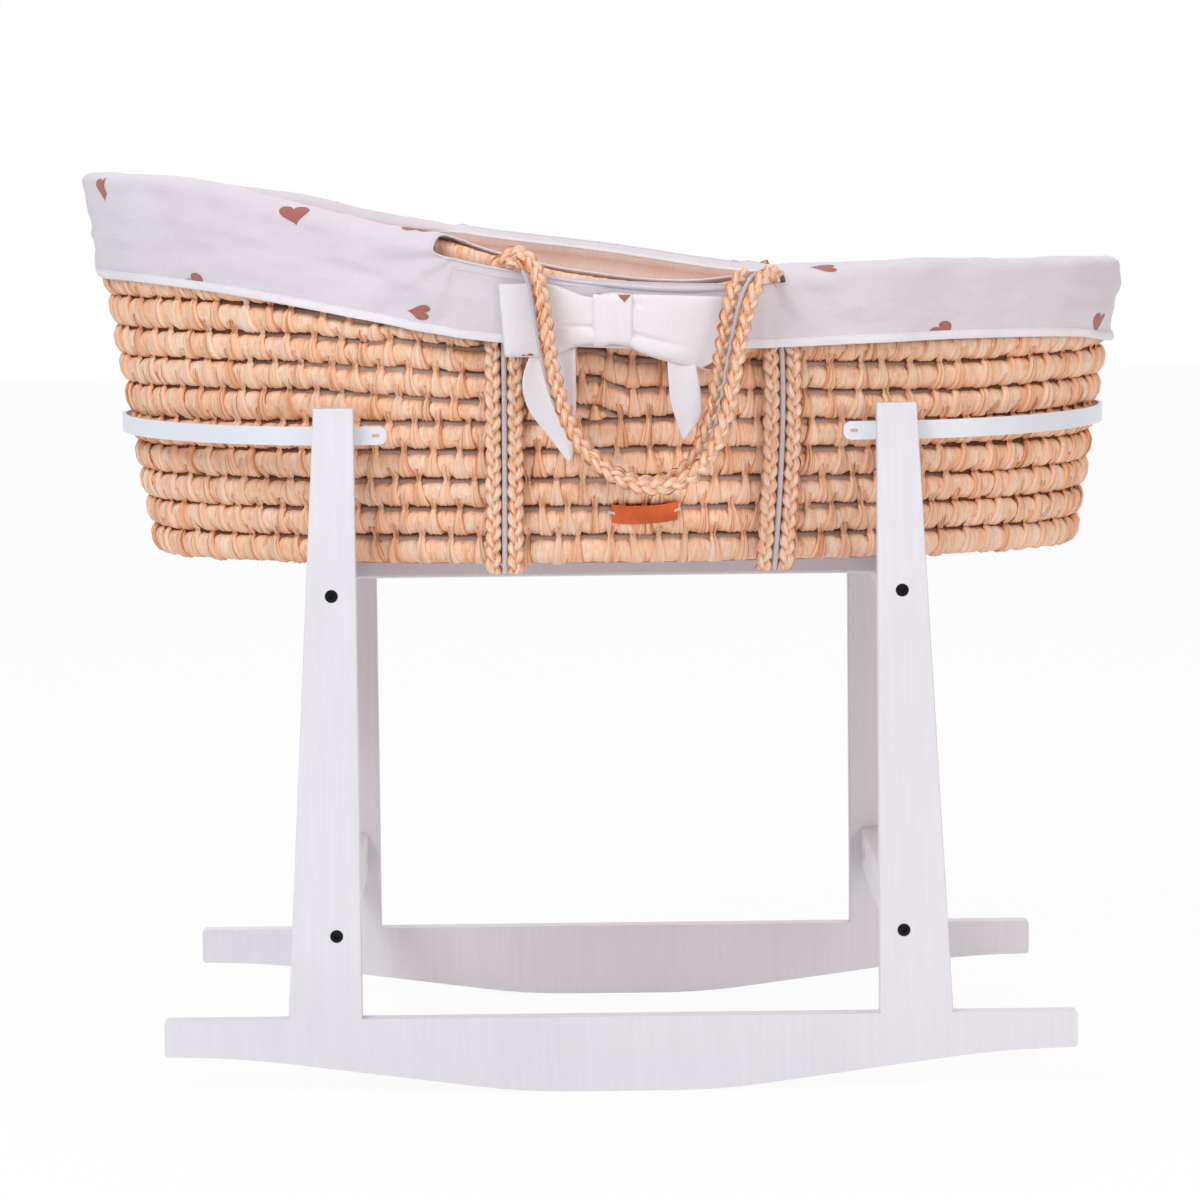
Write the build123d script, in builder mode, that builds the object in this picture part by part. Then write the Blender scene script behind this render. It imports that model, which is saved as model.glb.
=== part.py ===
from build123d import *
import os
from math import copysign, cos, pi, sin

# Bassinet on a rocking stand: a coiled straw basket with a fabric cover and a
# mattress, lying loose on a white wooden stand with two rockers.
# Millimetres. Z is up, the floor is Z = 0. The basket's head end is at -X, its
# foot end at +X, and the front is at -Y. The origin is on the floor, below the
# middle of the whole length and width.

os.makedirs("parts", exist_ok=True)

# ---------------------------------------------------------------- stand
STAND_X = 6.5               # middle of the stand, from the origin
STAND_DEPTH = 480.0         # over the outer faces of the two rockers
BOARD = 18.0                # thickness of every board and rail

ROCKER_LENGTH = 750.0
ROCKER_HEIGHT = 62.0        # at the middle
ROCKER_TOE_LIFT = 32.0      # underside at the ends, above the floor
ROCKER_FLAT_CORNER = 79.3   # where the flat and the rise would meet
ROCKER_TOE_CORNER = 322.3   # where the rise and the toe would meet
ROCKER_RADIUS = 600.0
ROCKER_TOE_RADIUS = 800.0

LEG_TOP = 564.0
LEG_INNER = 212.5           # plumb inner edge, from the middle of the stand
LEG_TOP_OUTER = 245.0
LEG_FOOT_OUTER = 273.0
LEG_DOWEL_X = (228.0, 257.0)
EDGE_ROUND = 1.5

RAIL_X = 232.5              # middle of each cross rail
RAIL_HEIGHT = 38.0
RAIL_ROUND = 3.0
UPPER_RAIL_Z = 411.0
LOWER_RAIL_Z = 131.0
STRETCHER_HEIGHT = 27.0

BOLT_RADIUS = 3.0           # M6
BOLT_LENGTH = 60.0
BOLT_HEAD_RADIUS = 5.0
BOLT_HEAD_HEIGHT = 6.0
BOLT_HOLE_RADIUS = 3.3
COUNTERBORE_RADIUS = 5.4
COUNTERBORE_DEPTH = 7.0
SOCKET_ACROSS_FLATS = 5.0
SOCKET_DEPTH = 3.0
NUT_RADIUS = 5.0
NUT_LENGTH = 14.0
NUT_SETBACK = 40.0          # barrel nut, from the end of the rail
FIT_GAP = 0.1               # radial clearance of dowels and nuts

DOWEL_RADIUS = 5.0
DOWEL_LENGTH = 50.0
SMALL_DOWEL_RADIUS = 3.0
SMALL_DOWEL_LENGTH = 36.0
SMALL_DOWEL_STEP = 12.0

# ---------------------------------------------------------------- hoops
HOOP_Z = 540.5              # middle of the flat bar
HOOP_BAR_HEIGHT = 15.0
HOOP_BAR = 3.0
HOOP_ARM_END = 186.5        # ends of the arms, from the middle of the stand
HOOP_BEND_START = 226.0
HOOP_REACH = 419.0
HOOP_ROUNDNESS = 1.8
HOOP_SLOT_X = 195.0
HOOP_SLOT_LENGTH = 6.6
HOOP_SLOT_HEIGHT = 3.0
HOOP_END_ROUND = 6.0
SCREW_X = 220.5
SCREW_RADIUS = 1.9
SCREW_LENGTH = 15.0
SCREW_HEAD_RADIUS = 4.0
SCREW_HEAD_HEIGHT = 2.0

# ---------------------------------------------------------------- basket
HEAD_REACH = 385.5          # outline at the base, from the origin
FOOT_REACH = 402.5
HALF_WIDTH = 198.0
HEAD_FLARE = 0.17           # growth of the outline per millimetre of height
FOOT_FLARE = 0.15
SIDE_FLARE = 0.19
SQUARENESS = 2.2            # 2 is an ellipse

# Rows of coil from the bottom up: numbers go all the way round, and letters are
# short rows, which thicken towards the head between the two X given for each.
ROWS = (1, 2, 3, 4, 5, "a", 6, 7, "b", 8, 9, "c", 10)
SHORT_ROWS = {"a": (46.0, -294.0), "b": (-54.0, -374.0), "c": (-84.0, -446.0)}
FULL_ROWS = 10
PITCH = 23.9                # height of a full row
SHORT_PITCH = 26.6          # height of a short row at the head
THIN_ROW = 2.0              # and where it has thinned out
DIP = 12.0                  # sag of the rim, and where it is deepest
DIP_X = 270.0
DIP_SPAN = 300.0
COIL_DEPTH = 20.0           # thickness of the wall
GROOVE = 7.0                # depth of the grooves between rows
ROW_PROFILE = ((0.2, 0.0), (0.8, 0.0))
RING_POINTS = 28

BASE_THICKNESS = 18.0
BASE_TURNS = 7
BASE_PITCH = 24.0
BASE_GROOVE = 4.0

SKIN_GAP = 0.4              # between straw and cloth
SKIRT_GAP = 2.0             # the skirt hangs a little clear of the wall
RIM_GAP = 1.2
CLOTH = 2.5
LINER = 2.0
COVER_TURN = 5.0            # height of the rounded turn over the rim
COVER_DROP = 78.0
HEM_RISE = 8.0              # the skirt is shorter towards the foot
HEM_RISE_X = (-60.0, 200.0)
SLOT_X = (-135.5, 147.0)    # ends of the handle slots in the cover
SLOT_DEPTH = 13.0           # below the rim, in the outer half of the turn
SLOT_SHOULDER = 0.8         # share of that depth, one depth in from each end
SLOT_CLEAR = 20.0           # how far the cut runs past the cover
BRAID_ROOM_START = (-195.0, -112.0)     # the skirt stands out over the braids
BRAID_ROOM_END = (200.0, 290.0)

MATTRESS_THICKNESS = 38.0
MATTRESS_ROUND = 6.0
MATTRESS_GAP = 6.0          # all round, to the liner

# ---------------------------------------------------------------- braids
BRAID_RADIUS = 6.4          # of each strand; two strands and a cord make a strap
BRAID_SIDES = 10
BRAID_SPACING = 18.0
CORD_RADIUS = 2.2
CORD_SIDES = 6
BRAID_GAP = 0.3
ARC_SHARE = 0.45            # share of the shorter run beside it that each bend takes
STRAP_HEAD = ((-85.0, 425.0), (-82.0, 612.0), (-84.0, 675.0))  # X and Z up each wall strap
STRAP_FOOT = ((136.5, 425.0), (151.5, 609.0), (134.5, 661.0))

# Points down, round and up each handle: X, distance from the middle, Z.
OUTER_BRAID = (
    (-66.0, 287.2, 676.0), (-55.0, 287.2, 650.0), (-48.0, 287.2, 618.0), (-42.0, 287.2, 585.0),
    (-31.0, 287.2, 549.0), (-10.0, 287.2, 517.0), (28.0, 287.2, 497.5), (64.0, 287.2, 504.0),
    (88.0, 287.2, 532.0), (98.0, 287.2, 568.0), (104.5, 287.2, 605.0), (112.0, 287.2, 640.0),
    (119.0, 287.2, 674.0),
)
INNER_BRAID = (
    (-66.0, 274.0, 672.0), (-55.0, 274.0, 648.0), (-48.0, 274.0, 616.0), (-42.0, 273.0, 585.0),
    (-31.0, 270.0, 549.0), (-10.0, 268.5, 518.0), (27.0, 268.5, 499.5), (59.0, 268.5, 506.0),
    (79.0, 268.5, 534.0), (87.0, 270.0, 568.0), (92.0, 272.5, 603.0), (96.0, 274.0, 640.0),
    (101.5, 274.0, 672.0),
)
HANDLE_CORD = (
    (-75.5, 280.6, 673.0), (-64.5, 280.6, 647.0), (-57.5, 280.6, 615.0), (-51.0, 279.3, 581.0),
    (-39.5, 278.6, 543.0), (-15.0, 277.6, 508.0), (29.0, 277.4, 488.0), (68.0, 277.4, 498.0),
    (87.0, 277.4, 533.0), (93.0, 278.2, 572.0), (98.5, 279.5, 605.0), (104.5, 280.6, 640.0),
    (111.0, 280.6, 672.0),
)

# ---------------------------------------------------------------- tag and bow
TAG_X = 30.5
TAG_Z = 473.0
TAG_SIZE = (54.0, 17.0)
TAG_THICKNESS = 2.0
TAG_ROUND = 2.0
TAG_HOLE_RADIUS = 1.0
TAG_HOLE_SPACING = 46.0

BOW_Z = 634.0
BOW_OFF_SKIRT = 2.0
BOW_ROUND = 3.0
BOW_WING = 6.0              # thickness of a flattened loop
BOW_KNOT = 11.0
BOW_TAIL = 2.5
TAILS_OFF_BOW = 1.0
KNOT_X = 4.5
KNOT_SIZE = (31.0, 43.0)
LEFT_WING = ((-87.0, 664.0), (-84.0, 605.0), (-26.0, 609.0), (-11.6, 619.0), (-11.6, 653.0), (-30.0, 660.0))
RIGHT_WING = ((96.0, 655.0), (88.0, 593.0), (62.0, 598.0), (20.6, 616.0), (20.6, 655.0), (40.0, 661.0))
LEFT_TAIL = ((-46.0, 602.0), (-69.0, 584.0), (-60.0, 556.0), (-33.0, 522.0), (-27.0, 558.0), (-27.0, 602.0))
RIGHT_TAIL = ((33.0, 602.0), (46.0, 572.0), (58.0, 540.0), (66.0, 541.0), (77.0, 560.0), (74.0, 588.0))

SEAT = UPPER_RAIL_Z + RAIL_HEIGHT / 2
FRONT, REAR = -1, 1
HEAD, FOOT = -1, 1
HALF_DEPTH = STAND_DEPTH / 2
INNER_DEPTH = HALF_DEPTH - BOARD


def board_plane(side):
    """Upright plane from which a board of the front or rear frame is extruded towards -Y."""
    return Plane.XZ.offset(INNER_DEPTH if side == FRONT else -HALF_DEPTH)


def outward(x, y, z, side):
    """Plane on a face that looks to the front or to the rear."""
    return Plane(origin=(x, y, z), x_dir=(1, 0, 0), z_dir=(0, side, 0))


# ================================================================ stand
for name, side in (("rocker_front", FRONT), ("rocker_rear", REAR)):
    with BuildPart() as rocker:
        with BuildSketch(board_plane(side)):
            with BuildLine():
                under = FilletPolyline(
                    (STAND_X - ROCKER_LENGTH / 2, ROCKER_TOE_LIFT),
                    (STAND_X - ROCKER_TOE_CORNER, ROCKER_TOE_LIFT),
                    (STAND_X - ROCKER_FLAT_CORNER, 0),
                    (STAND_X + ROCKER_FLAT_CORNER, 0),
                    (STAND_X + ROCKER_TOE_CORNER, ROCKER_TOE_LIFT),
                    (STAND_X + ROCKER_LENGTH / 2, ROCKER_TOE_LIFT),
                    radius=[ROCKER_TOE_RADIUS, ROCKER_RADIUS, ROCKER_RADIUS, ROCKER_TOE_RADIUS],
                )
                Polyline(
                    under @ 1,
                    (STAND_X + ROCKER_LENGTH / 2, ROCKER_HEIGHT),
                    (STAND_X - ROCKER_LENGTH / 2, ROCKER_HEIGHT),
                    under @ 0,
                )
            make_face()
        extrude(amount=BOARD)
        fillet(rocker.edges().filter_by(Axis.Y), EDGE_ROUND * 2)
        for end in (HEAD, FOOT):
            for dowel_x in LEG_DOWEL_X:
                spot = (STAND_X + end * dowel_x, side * (HALF_DEPTH - BOARD / 2), ROCKER_HEIGHT)
                with Locations(spot):
                    Hole(DOWEL_RADIUS + FIT_GAP, depth=DOWEL_LENGTH / 2)
    rocker.part.label = name
    export_step(rocker.part, f"parts/{name}.step")

for end_name, end in (("head", HEAD), ("foot", FOOT)):
    for side_name, side in (("front", FRONT), ("rear", REAR)):
        with BuildPart() as leg:
            with BuildSketch(board_plane(side)):
                with BuildLine():
                    Polyline(
                        (STAND_X + end * LEG_INNER, ROCKER_HEIGHT),
                        (STAND_X + end * LEG_FOOT_OUTER, ROCKER_HEIGHT),
                        (STAND_X + end * LEG_TOP_OUTER, LEG_TOP),
                        (STAND_X + end * LEG_INNER, LEG_TOP),
                        close=True,
                    )
                make_face()
            extrude(amount=BOARD)
            faces_out = leg.faces().filter_by(Axis.Y)
            fillet(faces_out.edges() - leg.faces().sort_by(Axis.Z)[0].edges(), EDGE_ROUND)
            for rail_z in (UPPER_RAIL_Z, LOWER_RAIL_Z):
                with Locations(outward(STAND_X + end * RAIL_X, side * HALF_DEPTH, rail_z, side)):
                    CounterBoreHole(BOLT_HOLE_RADIUS, COUNTERBORE_RADIUS, COUNTERBORE_DEPTH, BOARD)
            with Locations(outward(STAND_X + end * SCREW_X, side * INNER_DEPTH, HOOP_Z, -side)):
                Hole(SCREW_RADIUS + FIT_GAP, depth=SCREW_LENGTH)
            for dowel_x in LEG_DOWEL_X:
                spot = (STAND_X + end * dowel_x, side * (HALF_DEPTH - BOARD / 2), ROCKER_HEIGHT)
                with Locations(Plane(origin=spot, z_dir=(0, 0, -1))):
                    Hole(DOWEL_RADIUS + FIT_GAP, depth=DOWEL_LENGTH / 2)
        leg.part.label = f"leg_{side_name}_{end_name}"
        export_step(leg.part, f"parts/leg_{side_name}_{end_name}.step")

# Cross rails run from front to rear between the legs and carry the basket.
for end_name, end in (("head", HEAD), ("foot", FOOT)):
    for level_name, rail_z in (("upper", UPPER_RAIL_Z), ("lower", LOWER_RAIL_Z)):
        rail_x = STAND_X + end * RAIL_X
        inner_face_x = rail_x - end * BOARD / 2
        with BuildPart() as rail:
            with Locations((rail_x, 0, rail_z)):
                Box(BOARD, 2 * INNER_DEPTH, RAIL_HEIGHT)
            fillet(rail.edges().filter_by(Axis.Y), RAIL_ROUND)
            for side in (FRONT, REAR):
                with Locations(outward(rail_x, side * INNER_DEPTH, rail_z, side)):
                    Hole(BOLT_HOLE_RADIUS, depth=BOLT_LENGTH)
                nut_spot = (inner_face_x, side * (INNER_DEPTH - NUT_SETBACK), rail_z)
                with Locations(Plane(origin=nut_spot, z_dir=(-end, 0, 0))):
                    Hole(NUT_RADIUS + FIT_GAP, depth=NUT_LENGTH + 1)
            if level_name == "upper":
                for step in (-0.5, 0.5):
                    dowel_z = SEAT - STRETCHER_HEIGHT / 2 + step * SMALL_DOWEL_STEP
                    with Locations(Plane(origin=(inner_face_x, 0, dowel_z), z_dir=(-end, 0, 0))):
                        Hole(SMALL_DOWEL_RADIUS + FIT_GAP, depth=BOARD * 0.7)
        rail.part.label = f"cross_rail_{level_name}_{end_name}"
        export_step(rail.part, f"parts/cross_rail_{level_name}_{end_name}.step")

# The stretcher runs lengthwise under the basket, between the upper cross rails.
STRETCHER_HALF = RAIL_X - BOARD / 2
STRETCHER_Z = SEAT - STRETCHER_HEIGHT / 2
with BuildPart() as stretcher:
    with Locations((STAND_X, 0, STRETCHER_Z)):
        Box(2 * STRETCHER_HALF, BOARD, STRETCHER_HEIGHT)
    fillet(stretcher.edges().filter_by(Axis.X), RAIL_ROUND)
    for end in (HEAD, FOOT):
        for step in (-0.5, 0.5):
            spot = (STAND_X + end * STRETCHER_HALF, 0, STRETCHER_Z + step * SMALL_DOWEL_STEP)
            with Locations(Plane(origin=spot, z_dir=(end, 0, 0))):
                Hole(SMALL_DOWEL_RADIUS + FIT_GAP, depth=SMALL_DOWEL_LENGTH - BOARD * 0.7)
stretcher.part.label = "stretcher_rail"
export_step(stretcher.part, "parts/stretcher_rail.step")

# ---------------------------------------------------------------- fasteners
corners = [
    (end, side, rail_z)
    for end in (HEAD, FOOT)
    for side in (FRONT, REAR)
    for rail_z in (UPPER_RAIL_Z, LOWER_RAIL_Z)
]

with BuildPart() as bolts:
    for end, side, rail_z in corners:
        seat_y = side * (HALF_DEPTH - COUNTERBORE_DEPTH)
        head_plane = outward(STAND_X + end * RAIL_X, seat_y, rail_z, side)
        with BuildSketch(head_plane):
            Circle(BOLT_HEAD_RADIUS)
        extrude(amount=BOLT_HEAD_HEIGHT)
        with BuildSketch(head_plane):
            Circle(BOLT_RADIUS)
        extrude(amount=-BOLT_LENGTH)
        with BuildSketch(head_plane.offset(BOLT_HEAD_HEIGHT)):
            RegularPolygon(SOCKET_ACROSS_FLATS / 2, 6, major_radius=False)
        extrude(amount=-SOCKET_DEPTH, mode=Mode.SUBTRACT)
bolts.part.label = "leg_bolts"
export_step(bolts.part, "parts/leg_bolts.step")

with BuildPart() as nuts:
    for end, side, rail_z in corners:
        nut_y = side * (INNER_DEPTH - NUT_SETBACK)
        middle_x = STAND_X + end * (RAIL_X - BOARD / 2 + 1 + NUT_LENGTH / 2)
        with Locations(Location((middle_x, nut_y, rail_z), (0, 90, 0))):
            Cylinder(NUT_RADIUS, NUT_LENGTH)
        with Locations(Location((STAND_X + end * RAIL_X, nut_y, rail_z), (90, 0, 0))):
            Cylinder(BOLT_RADIUS + FIT_GAP / 2, 3 * NUT_RADIUS, mode=Mode.SUBTRACT)
nuts.part.label = "barrel_nuts"
export_step(nuts.part, "parts/barrel_nuts.step")

with BuildPart() as leg_dowels:
    for end in (HEAD, FOOT):
        for side in (FRONT, REAR):
            for dowel_x in LEG_DOWEL_X:
                spot = (STAND_X + end * dowel_x, side * (HALF_DEPTH - BOARD / 2), ROCKER_HEIGHT)
                with Locations(spot):
                    Cylinder(DOWEL_RADIUS, DOWEL_LENGTH)
leg_dowels.part.label = "leg_dowels"
export_step(leg_dowels.part, "parts/leg_dowels.step")

with BuildPart() as stretcher_dowels:
    for end in (HEAD, FOOT):
        for step in (-0.5, 0.5):
            middle_x = STRETCHER_HALF + BOARD * 0.7 - SMALL_DOWEL_LENGTH / 2
            spot = (STAND_X + end * middle_x, 0, STRETCHER_Z + step * SMALL_DOWEL_STEP)
            with Locations(Location(spot, (0, 90, 0))):
                Cylinder(SMALL_DOWEL_RADIUS, SMALL_DOWEL_LENGTH)
stretcher_dowels.part.label = "stretcher_dowels"
export_step(stretcher_dowels.part, "parts/stretcher_dowels.step")


# ---------------------------------------------------------------- hoops
def bend_points(reach, half_gap, end):
    """Points of a hoop's bend, from the front arm round the basket's end to the rear arm."""
    points = []
    for step in range(-5, 6):
        turn = step * pi / 12
        x = (reach - HOOP_BEND_START) * cos(turn) ** (2 / HOOP_ROUNDNESS)
        y = half_gap * copysign(abs(sin(turn)) ** (2 / HOOP_ROUNDNESS), turn)
        points.append((STAND_X + end * (HOOP_BEND_START + x), y))
    bend_x = STAND_X + end * HOOP_BEND_START
    return [(bend_x, -half_gap)] + points + [(bend_x, half_gap)]


for name, end in (("hoop_head", HEAD), ("hoop_foot", FOOT)):
    arm_x = STAND_X + end * HOOP_ARM_END
    with BuildPart() as hoop:
        with BuildSketch(Plane.XY.offset(HOOP_Z - HOOP_BAR_HEIGHT / 2)):
            with BuildLine():
                outer = Spline(*bend_points(HOOP_REACH, INNER_DEPTH, end), tangents=[(end, 0), (-end, 0)])
                inner_points = bend_points(HOOP_REACH - HOOP_BAR, INNER_DEPTH - HOOP_BAR, end)
                inner = Spline(*inner_points, tangents=[(end, 0), (-end, 0)])
                for start, finish, y in ((outer @ 0, inner @ 0, -1), (outer @ 1, inner @ 1, 1)):
                    Polyline(start, (arm_x, y * INNER_DEPTH), (arm_x, y * (INNER_DEPTH - HOOP_BAR)), finish)
            make_face()
        extrude(amount=HOOP_BAR_HEIGHT)
        arm_ends = hoop.faces().filter_by(Axis.X).edges().filter_by(Axis.Y)
        fillet(arm_ends, HOOP_END_ROUND)
        with BuildSketch(Plane.XZ):
            with Locations((STAND_X + end * HOOP_SLOT_X, HOOP_Z)):
                SlotOverall(HOOP_SLOT_LENGTH, HOOP_SLOT_HEIGHT)
            with Locations((STAND_X + end * SCREW_X, HOOP_Z)):
                Circle(SCREW_RADIUS + FIT_GAP)
        extrude(amount=HALF_DEPTH, both=True, mode=Mode.SUBTRACT)
    hoop.part.label = name
    export_step(hoop.part, f"parts/{name}.step")

with BuildPart() as hoop_screws:
    for end in (HEAD, FOOT):
        for side in (FRONT, REAR):
            spot = outward(STAND_X + end * SCREW_X, side * (INNER_DEPTH - HOOP_BAR), HOOP_Z, -side)
            with BuildSketch(spot):
                Circle(SCREW_HEAD_RADIUS)
            extrude(amount=SCREW_HEAD_HEIGHT)
            with BuildSketch(spot):
                Circle(SCREW_RADIUS)
            extrude(amount=-SCREW_LENGTH)
hoop_screws.part.label = "hoop_screws"
export_step(hoop_screws.part, "parts/hoop_screws.step")


# ================================================================ basket
def smooth_step(value, start, finish):
    """0 before start, 1 after finish, and an even S curve between them."""
    share = min(max((value - start) / (finish - start), 0.0), 1.0)
    return share * share * (3 - 2 * share)


def row_rise(row, x):
    """Height of one row of coil at this place along the basket."""
    if row in SHORT_ROWS:
        start, finish = SHORT_ROWS[row]
        return THIN_ROW + (SHORT_PITCH - THIN_ROW) * smooth_step(-x, -start, -finish)
    offset = (x - DIP_X) / DIP_SPAN
    sag = DIP * cos(offset * pi / 2) ** 2 if abs(offset) < 1 else 0.0
    return PITCH - sag / FULL_ROWS


def row_bottom(index, x):
    """Height above the seat of the underside of the row with this index, or of the rim."""
    return sum(row_rise(row, x) for row in ROWS[:index])


def rim(x):
    return row_bottom(len(ROWS), x)


def outline_point(angle, height, inset=0.0):
    """Point of the basket's outline at this height, seen from above."""
    c, s = cos(angle), sin(angle)
    reach = FOOT_REACH + FOOT_FLARE * height if c > 0 else HEAD_REACH + HEAD_FLARE * height
    half_width = HALF_WIDTH + SIDE_FLARE * height
    x = (reach - inset) * copysign(abs(c) ** (2 / SQUARENESS), c)
    y = (half_width - inset) * copysign(abs(s) ** (2 / SQUARENESS), s)
    return x, y


def wall_y(x, height, side, inset=0.0):
    """Y of the basket's wall at this place along it."""
    reach = FOOT_REACH + FOOT_FLARE * height if x > 0 else HEAD_REACH + HEAD_FLARE * height
    share = (abs(x) / reach) ** SQUARENESS
    return side * ((HALF_WIDTH + SIDE_FLARE * height) * (1 - share) ** (1 / SQUARENESS) - inset)


def ring(height_at, inset_at):
    """Closed edge round the basket: both arguments are functions of X, or plain numbers."""
    points = []
    for i in range(RING_POINTS):
        angle = 2 * pi * (i + 0.5) / RING_POINTS
        height = 0.0
        for _ in range(4):
            x, y = outline_point(angle, height)
            height = height_at(x) if callable(height_at) else height_at
        inset = inset_at(x) if callable(inset_at) else inset_at
        x, y = outline_point(angle, height, inset)
        points.append((x, y, SEAT + height))
    return Spline(*points, periodic=True, mode=Mode.PRIVATE).edge()


def ring_solid(rings, closed=True):
    """Solid between rings that follow each other; an open set is capped flat at both ends."""
    pairs = list(zip(rings, rings[1:]))
    if closed:
        pairs.append((rings[-1], rings[0]))
    skins = [Face.make_surface_from_curves(first, second) for first, second in pairs]
    if not closed:
        skins += [Face(Wire([rings[0]])), Face(Wire([rings[-1]]))]
    return Solid(Shell(skins))


def row_level(index, share):
    """Height function of a line at this share of a row's height."""
    return lambda x: row_bottom(index, x) + share * row_rise(ROWS[index], x)


def row_inset(index, groove):
    """Inset function of that line: a row that thins out also sinks into its groove."""
    return lambda x: GROOVE - (GROOVE - groove) * min(1.0, row_rise(ROWS[index], x) / PITCH)


# The wall is one coil of straw, wound row on row and sewn. Each row has a
# rounded outside, so the wall is ribbed. Short rows start at the sides and
# thicken round the head end, where they raise the rows above them.
with BuildPart() as wall:
    levels = []
    for index in range(len(ROWS)):
        levels.append(ring(row_level(index, 0.0), GROOVE))
        for share, groove in ROW_PROFILE:
            levels.append(ring(row_level(index, share), row_inset(index, groove)))
    levels.append(ring(rim, GROOVE))
    levels.append(ring(rim, COIL_DEPTH))
    levels.append(ring(0.0, COIL_DEPTH))
    add(ring_solid(levels))
wall.part.label = "coiled_wall"
export_step(wall.part, "parts/coiled_wall.step")

# The bottom is the same coil, wound flat.
with BuildPart() as base:
    levels = [ring(BASE_THICKNESS, COIL_DEPTH + SKIN_GAP)]
    for turn in range(BASE_TURNS):
        outer_inset = COIL_DEPTH + SKIN_GAP + turn * BASE_PITCH
        levels.append(ring(BASE_GROOVE, outer_inset))
        levels.append(ring(0.0, outer_inset + BASE_GROOVE))
        levels.append(ring(0.0, outer_inset + BASE_PITCH - BASE_GROOVE))
    add(ring_solid(levels, closed=False))
base.part.label = "basket_base"
export_step(base.part, "parts/basket_base.step")

# The liner is the lower part of the cover: a fabric bag against the wall and the bottom.
liner_outer = COIL_DEPTH + 2 * SKIN_GAP
with BuildPart() as liner:
    add(ring_solid([
        ring(BASE_THICKNESS + SKIN_GAP, liner_outer),
        ring(lambda x: rim(x) - COVER_TURN, liner_outer),
        ring(lambda x: rim(x) - COVER_TURN, liner_outer + LINER),
        ring(BASE_THICKNESS + SKIN_GAP + LINER, liner_outer + LINER),
    ], closed=False))
liner.part.label = "liner"
export_step(liner.part, "parts/liner.step")


def hem(x):
    """Lower edge of the cover's skirt."""
    return rim(x) - COVER_DROP + HEM_RISE * smooth_step(x, HEM_RISE_X[0], HEM_RISE_X[1])


def skirt_inset(x):
    """Inset of the skirt's inner face, negative because it is outside the wall."""
    room = smooth_step(x, *BRAID_ROOM_START) * (1 - smooth_step(x, *BRAID_ROOM_END))
    return -SKIRT_GAP - room * (2 * BRAID_RADIUS + BRAID_GAP)


# The slots that the handles come out of, cut through the outer half of the
# cover's turn on both sides. The inner half stays on the coil.
with BuildPart() as slots:
    slot_top = SEAT + rim(0) + SLOT_CLEAR
    add(ring_solid([
        ring(lambda x: rim(x) - 2 * SLOT_DEPTH, -2 * SLOT_CLEAR),
        ring(lambda x: rim(x) + SLOT_CLEAR, -2 * SLOT_CLEAR),
        ring(lambda x: rim(x) + SLOT_CLEAR, COIL_DEPTH / 2),
        ring(lambda x: rim(x) - 2 * SLOT_DEPTH, COIL_DEPTH / 2),
    ]))
    with BuildSketch(Plane.XZ):
        with BuildLine():
            slot_floor = Spline(
                (SLOT_X[0], SEAT + rim(SLOT_X[0]) + 2 * CLOTH),
                (SLOT_X[0] + SLOT_DEPTH, SEAT + rim(SLOT_X[0]) - SLOT_SHOULDER * SLOT_DEPTH),
                (0, SEAT + rim(0) - SLOT_DEPTH),
                (SLOT_X[1] - SLOT_DEPTH, SEAT + rim(SLOT_X[1]) - SLOT_SHOULDER * SLOT_DEPTH),
                (SLOT_X[1], SEAT + rim(SLOT_X[1]) + 2 * CLOTH),
            )
            Polyline(slot_floor @ 0, (SLOT_X[0], slot_top), (SLOT_X[1], slot_top), slot_floor @ 1)
        make_face()
    extrude(amount=2 * HALF_WIDTH, both=True, mode=Mode.INTERSECT)

# The cover's skirt hangs over the rim, from the liner's top edge to the hem outside.
with BuildPart() as cover:
    add(ring_solid([
        ring(hem, lambda x: skirt_inset(x) - CLOTH),
        ring(lambda x: rim(x) - COVER_TURN, lambda x: skirt_inset(x) - CLOTH),
        ring(lambda x: rim(x) + RIM_GAP + CLOTH, GROOVE / 2),
        ring(lambda x: rim(x) + RIM_GAP + CLOTH, liner_outer),
        ring(lambda x: rim(x) - COVER_TURN + SKIN_GAP, liner_outer + LINER),
        ring(lambda x: rim(x) - COVER_TURN + SKIN_GAP, liner_outer),
        ring(lambda x: rim(x) + RIM_GAP, liner_outer),
        ring(lambda x: rim(x) + RIM_GAP, GROOVE / 2),
        ring(lambda x: rim(x) - COVER_TURN, skirt_inset),
        ring(hem, skirt_inset),
    ]))
    add(slots.part, mode=Mode.SUBTRACT)
cover.part.label = "cover_skirt"
export_step(cover.part, "parts/cover_skirt.step")


# ---------------------------------------------------------------- mattress
MATTRESS_BOTTOM = BASE_THICKNESS + SKIN_GAP + LINER + SKIN_GAP
mattress_inset = liner_outer + LINER + MATTRESS_GAP
with BuildPart() as mattress:
    add(ring_solid([
        ring(MATTRESS_BOTTOM, mattress_inset + MATTRESS_ROUND),
        ring(MATTRESS_BOTTOM + MATTRESS_ROUND, mattress_inset),
        ring(MATTRESS_BOTTOM + MATTRESS_THICKNESS - MATTRESS_ROUND, mattress_inset),
        ring(MATTRESS_BOTTOM + MATTRESS_THICKNESS, mattress_inset + MATTRESS_ROUND),
    ], closed=False))
mattress.part.label = "mattress"
export_step(mattress.part, "parts/mattress.step")


# ---------------------------------------------------------------- braids
def tube_path(points):
    """Straight runs joined by arcs that are as large as the runs beside them allow."""
    spots = [Vector(*point) for point in points]
    radii = []
    for before, here, after in zip(spots, spots[1:], spots[2:]):
        turn = (here - before).get_angle(after - here) * pi / 180
        shorter = min((here - before).length, (after - here).length)
        radii.append(ARC_SHARE * shorter * cos(turn / 2) / sin(turn / 2))
    return FilletPolyline(*spots, radius=radii)


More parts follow.
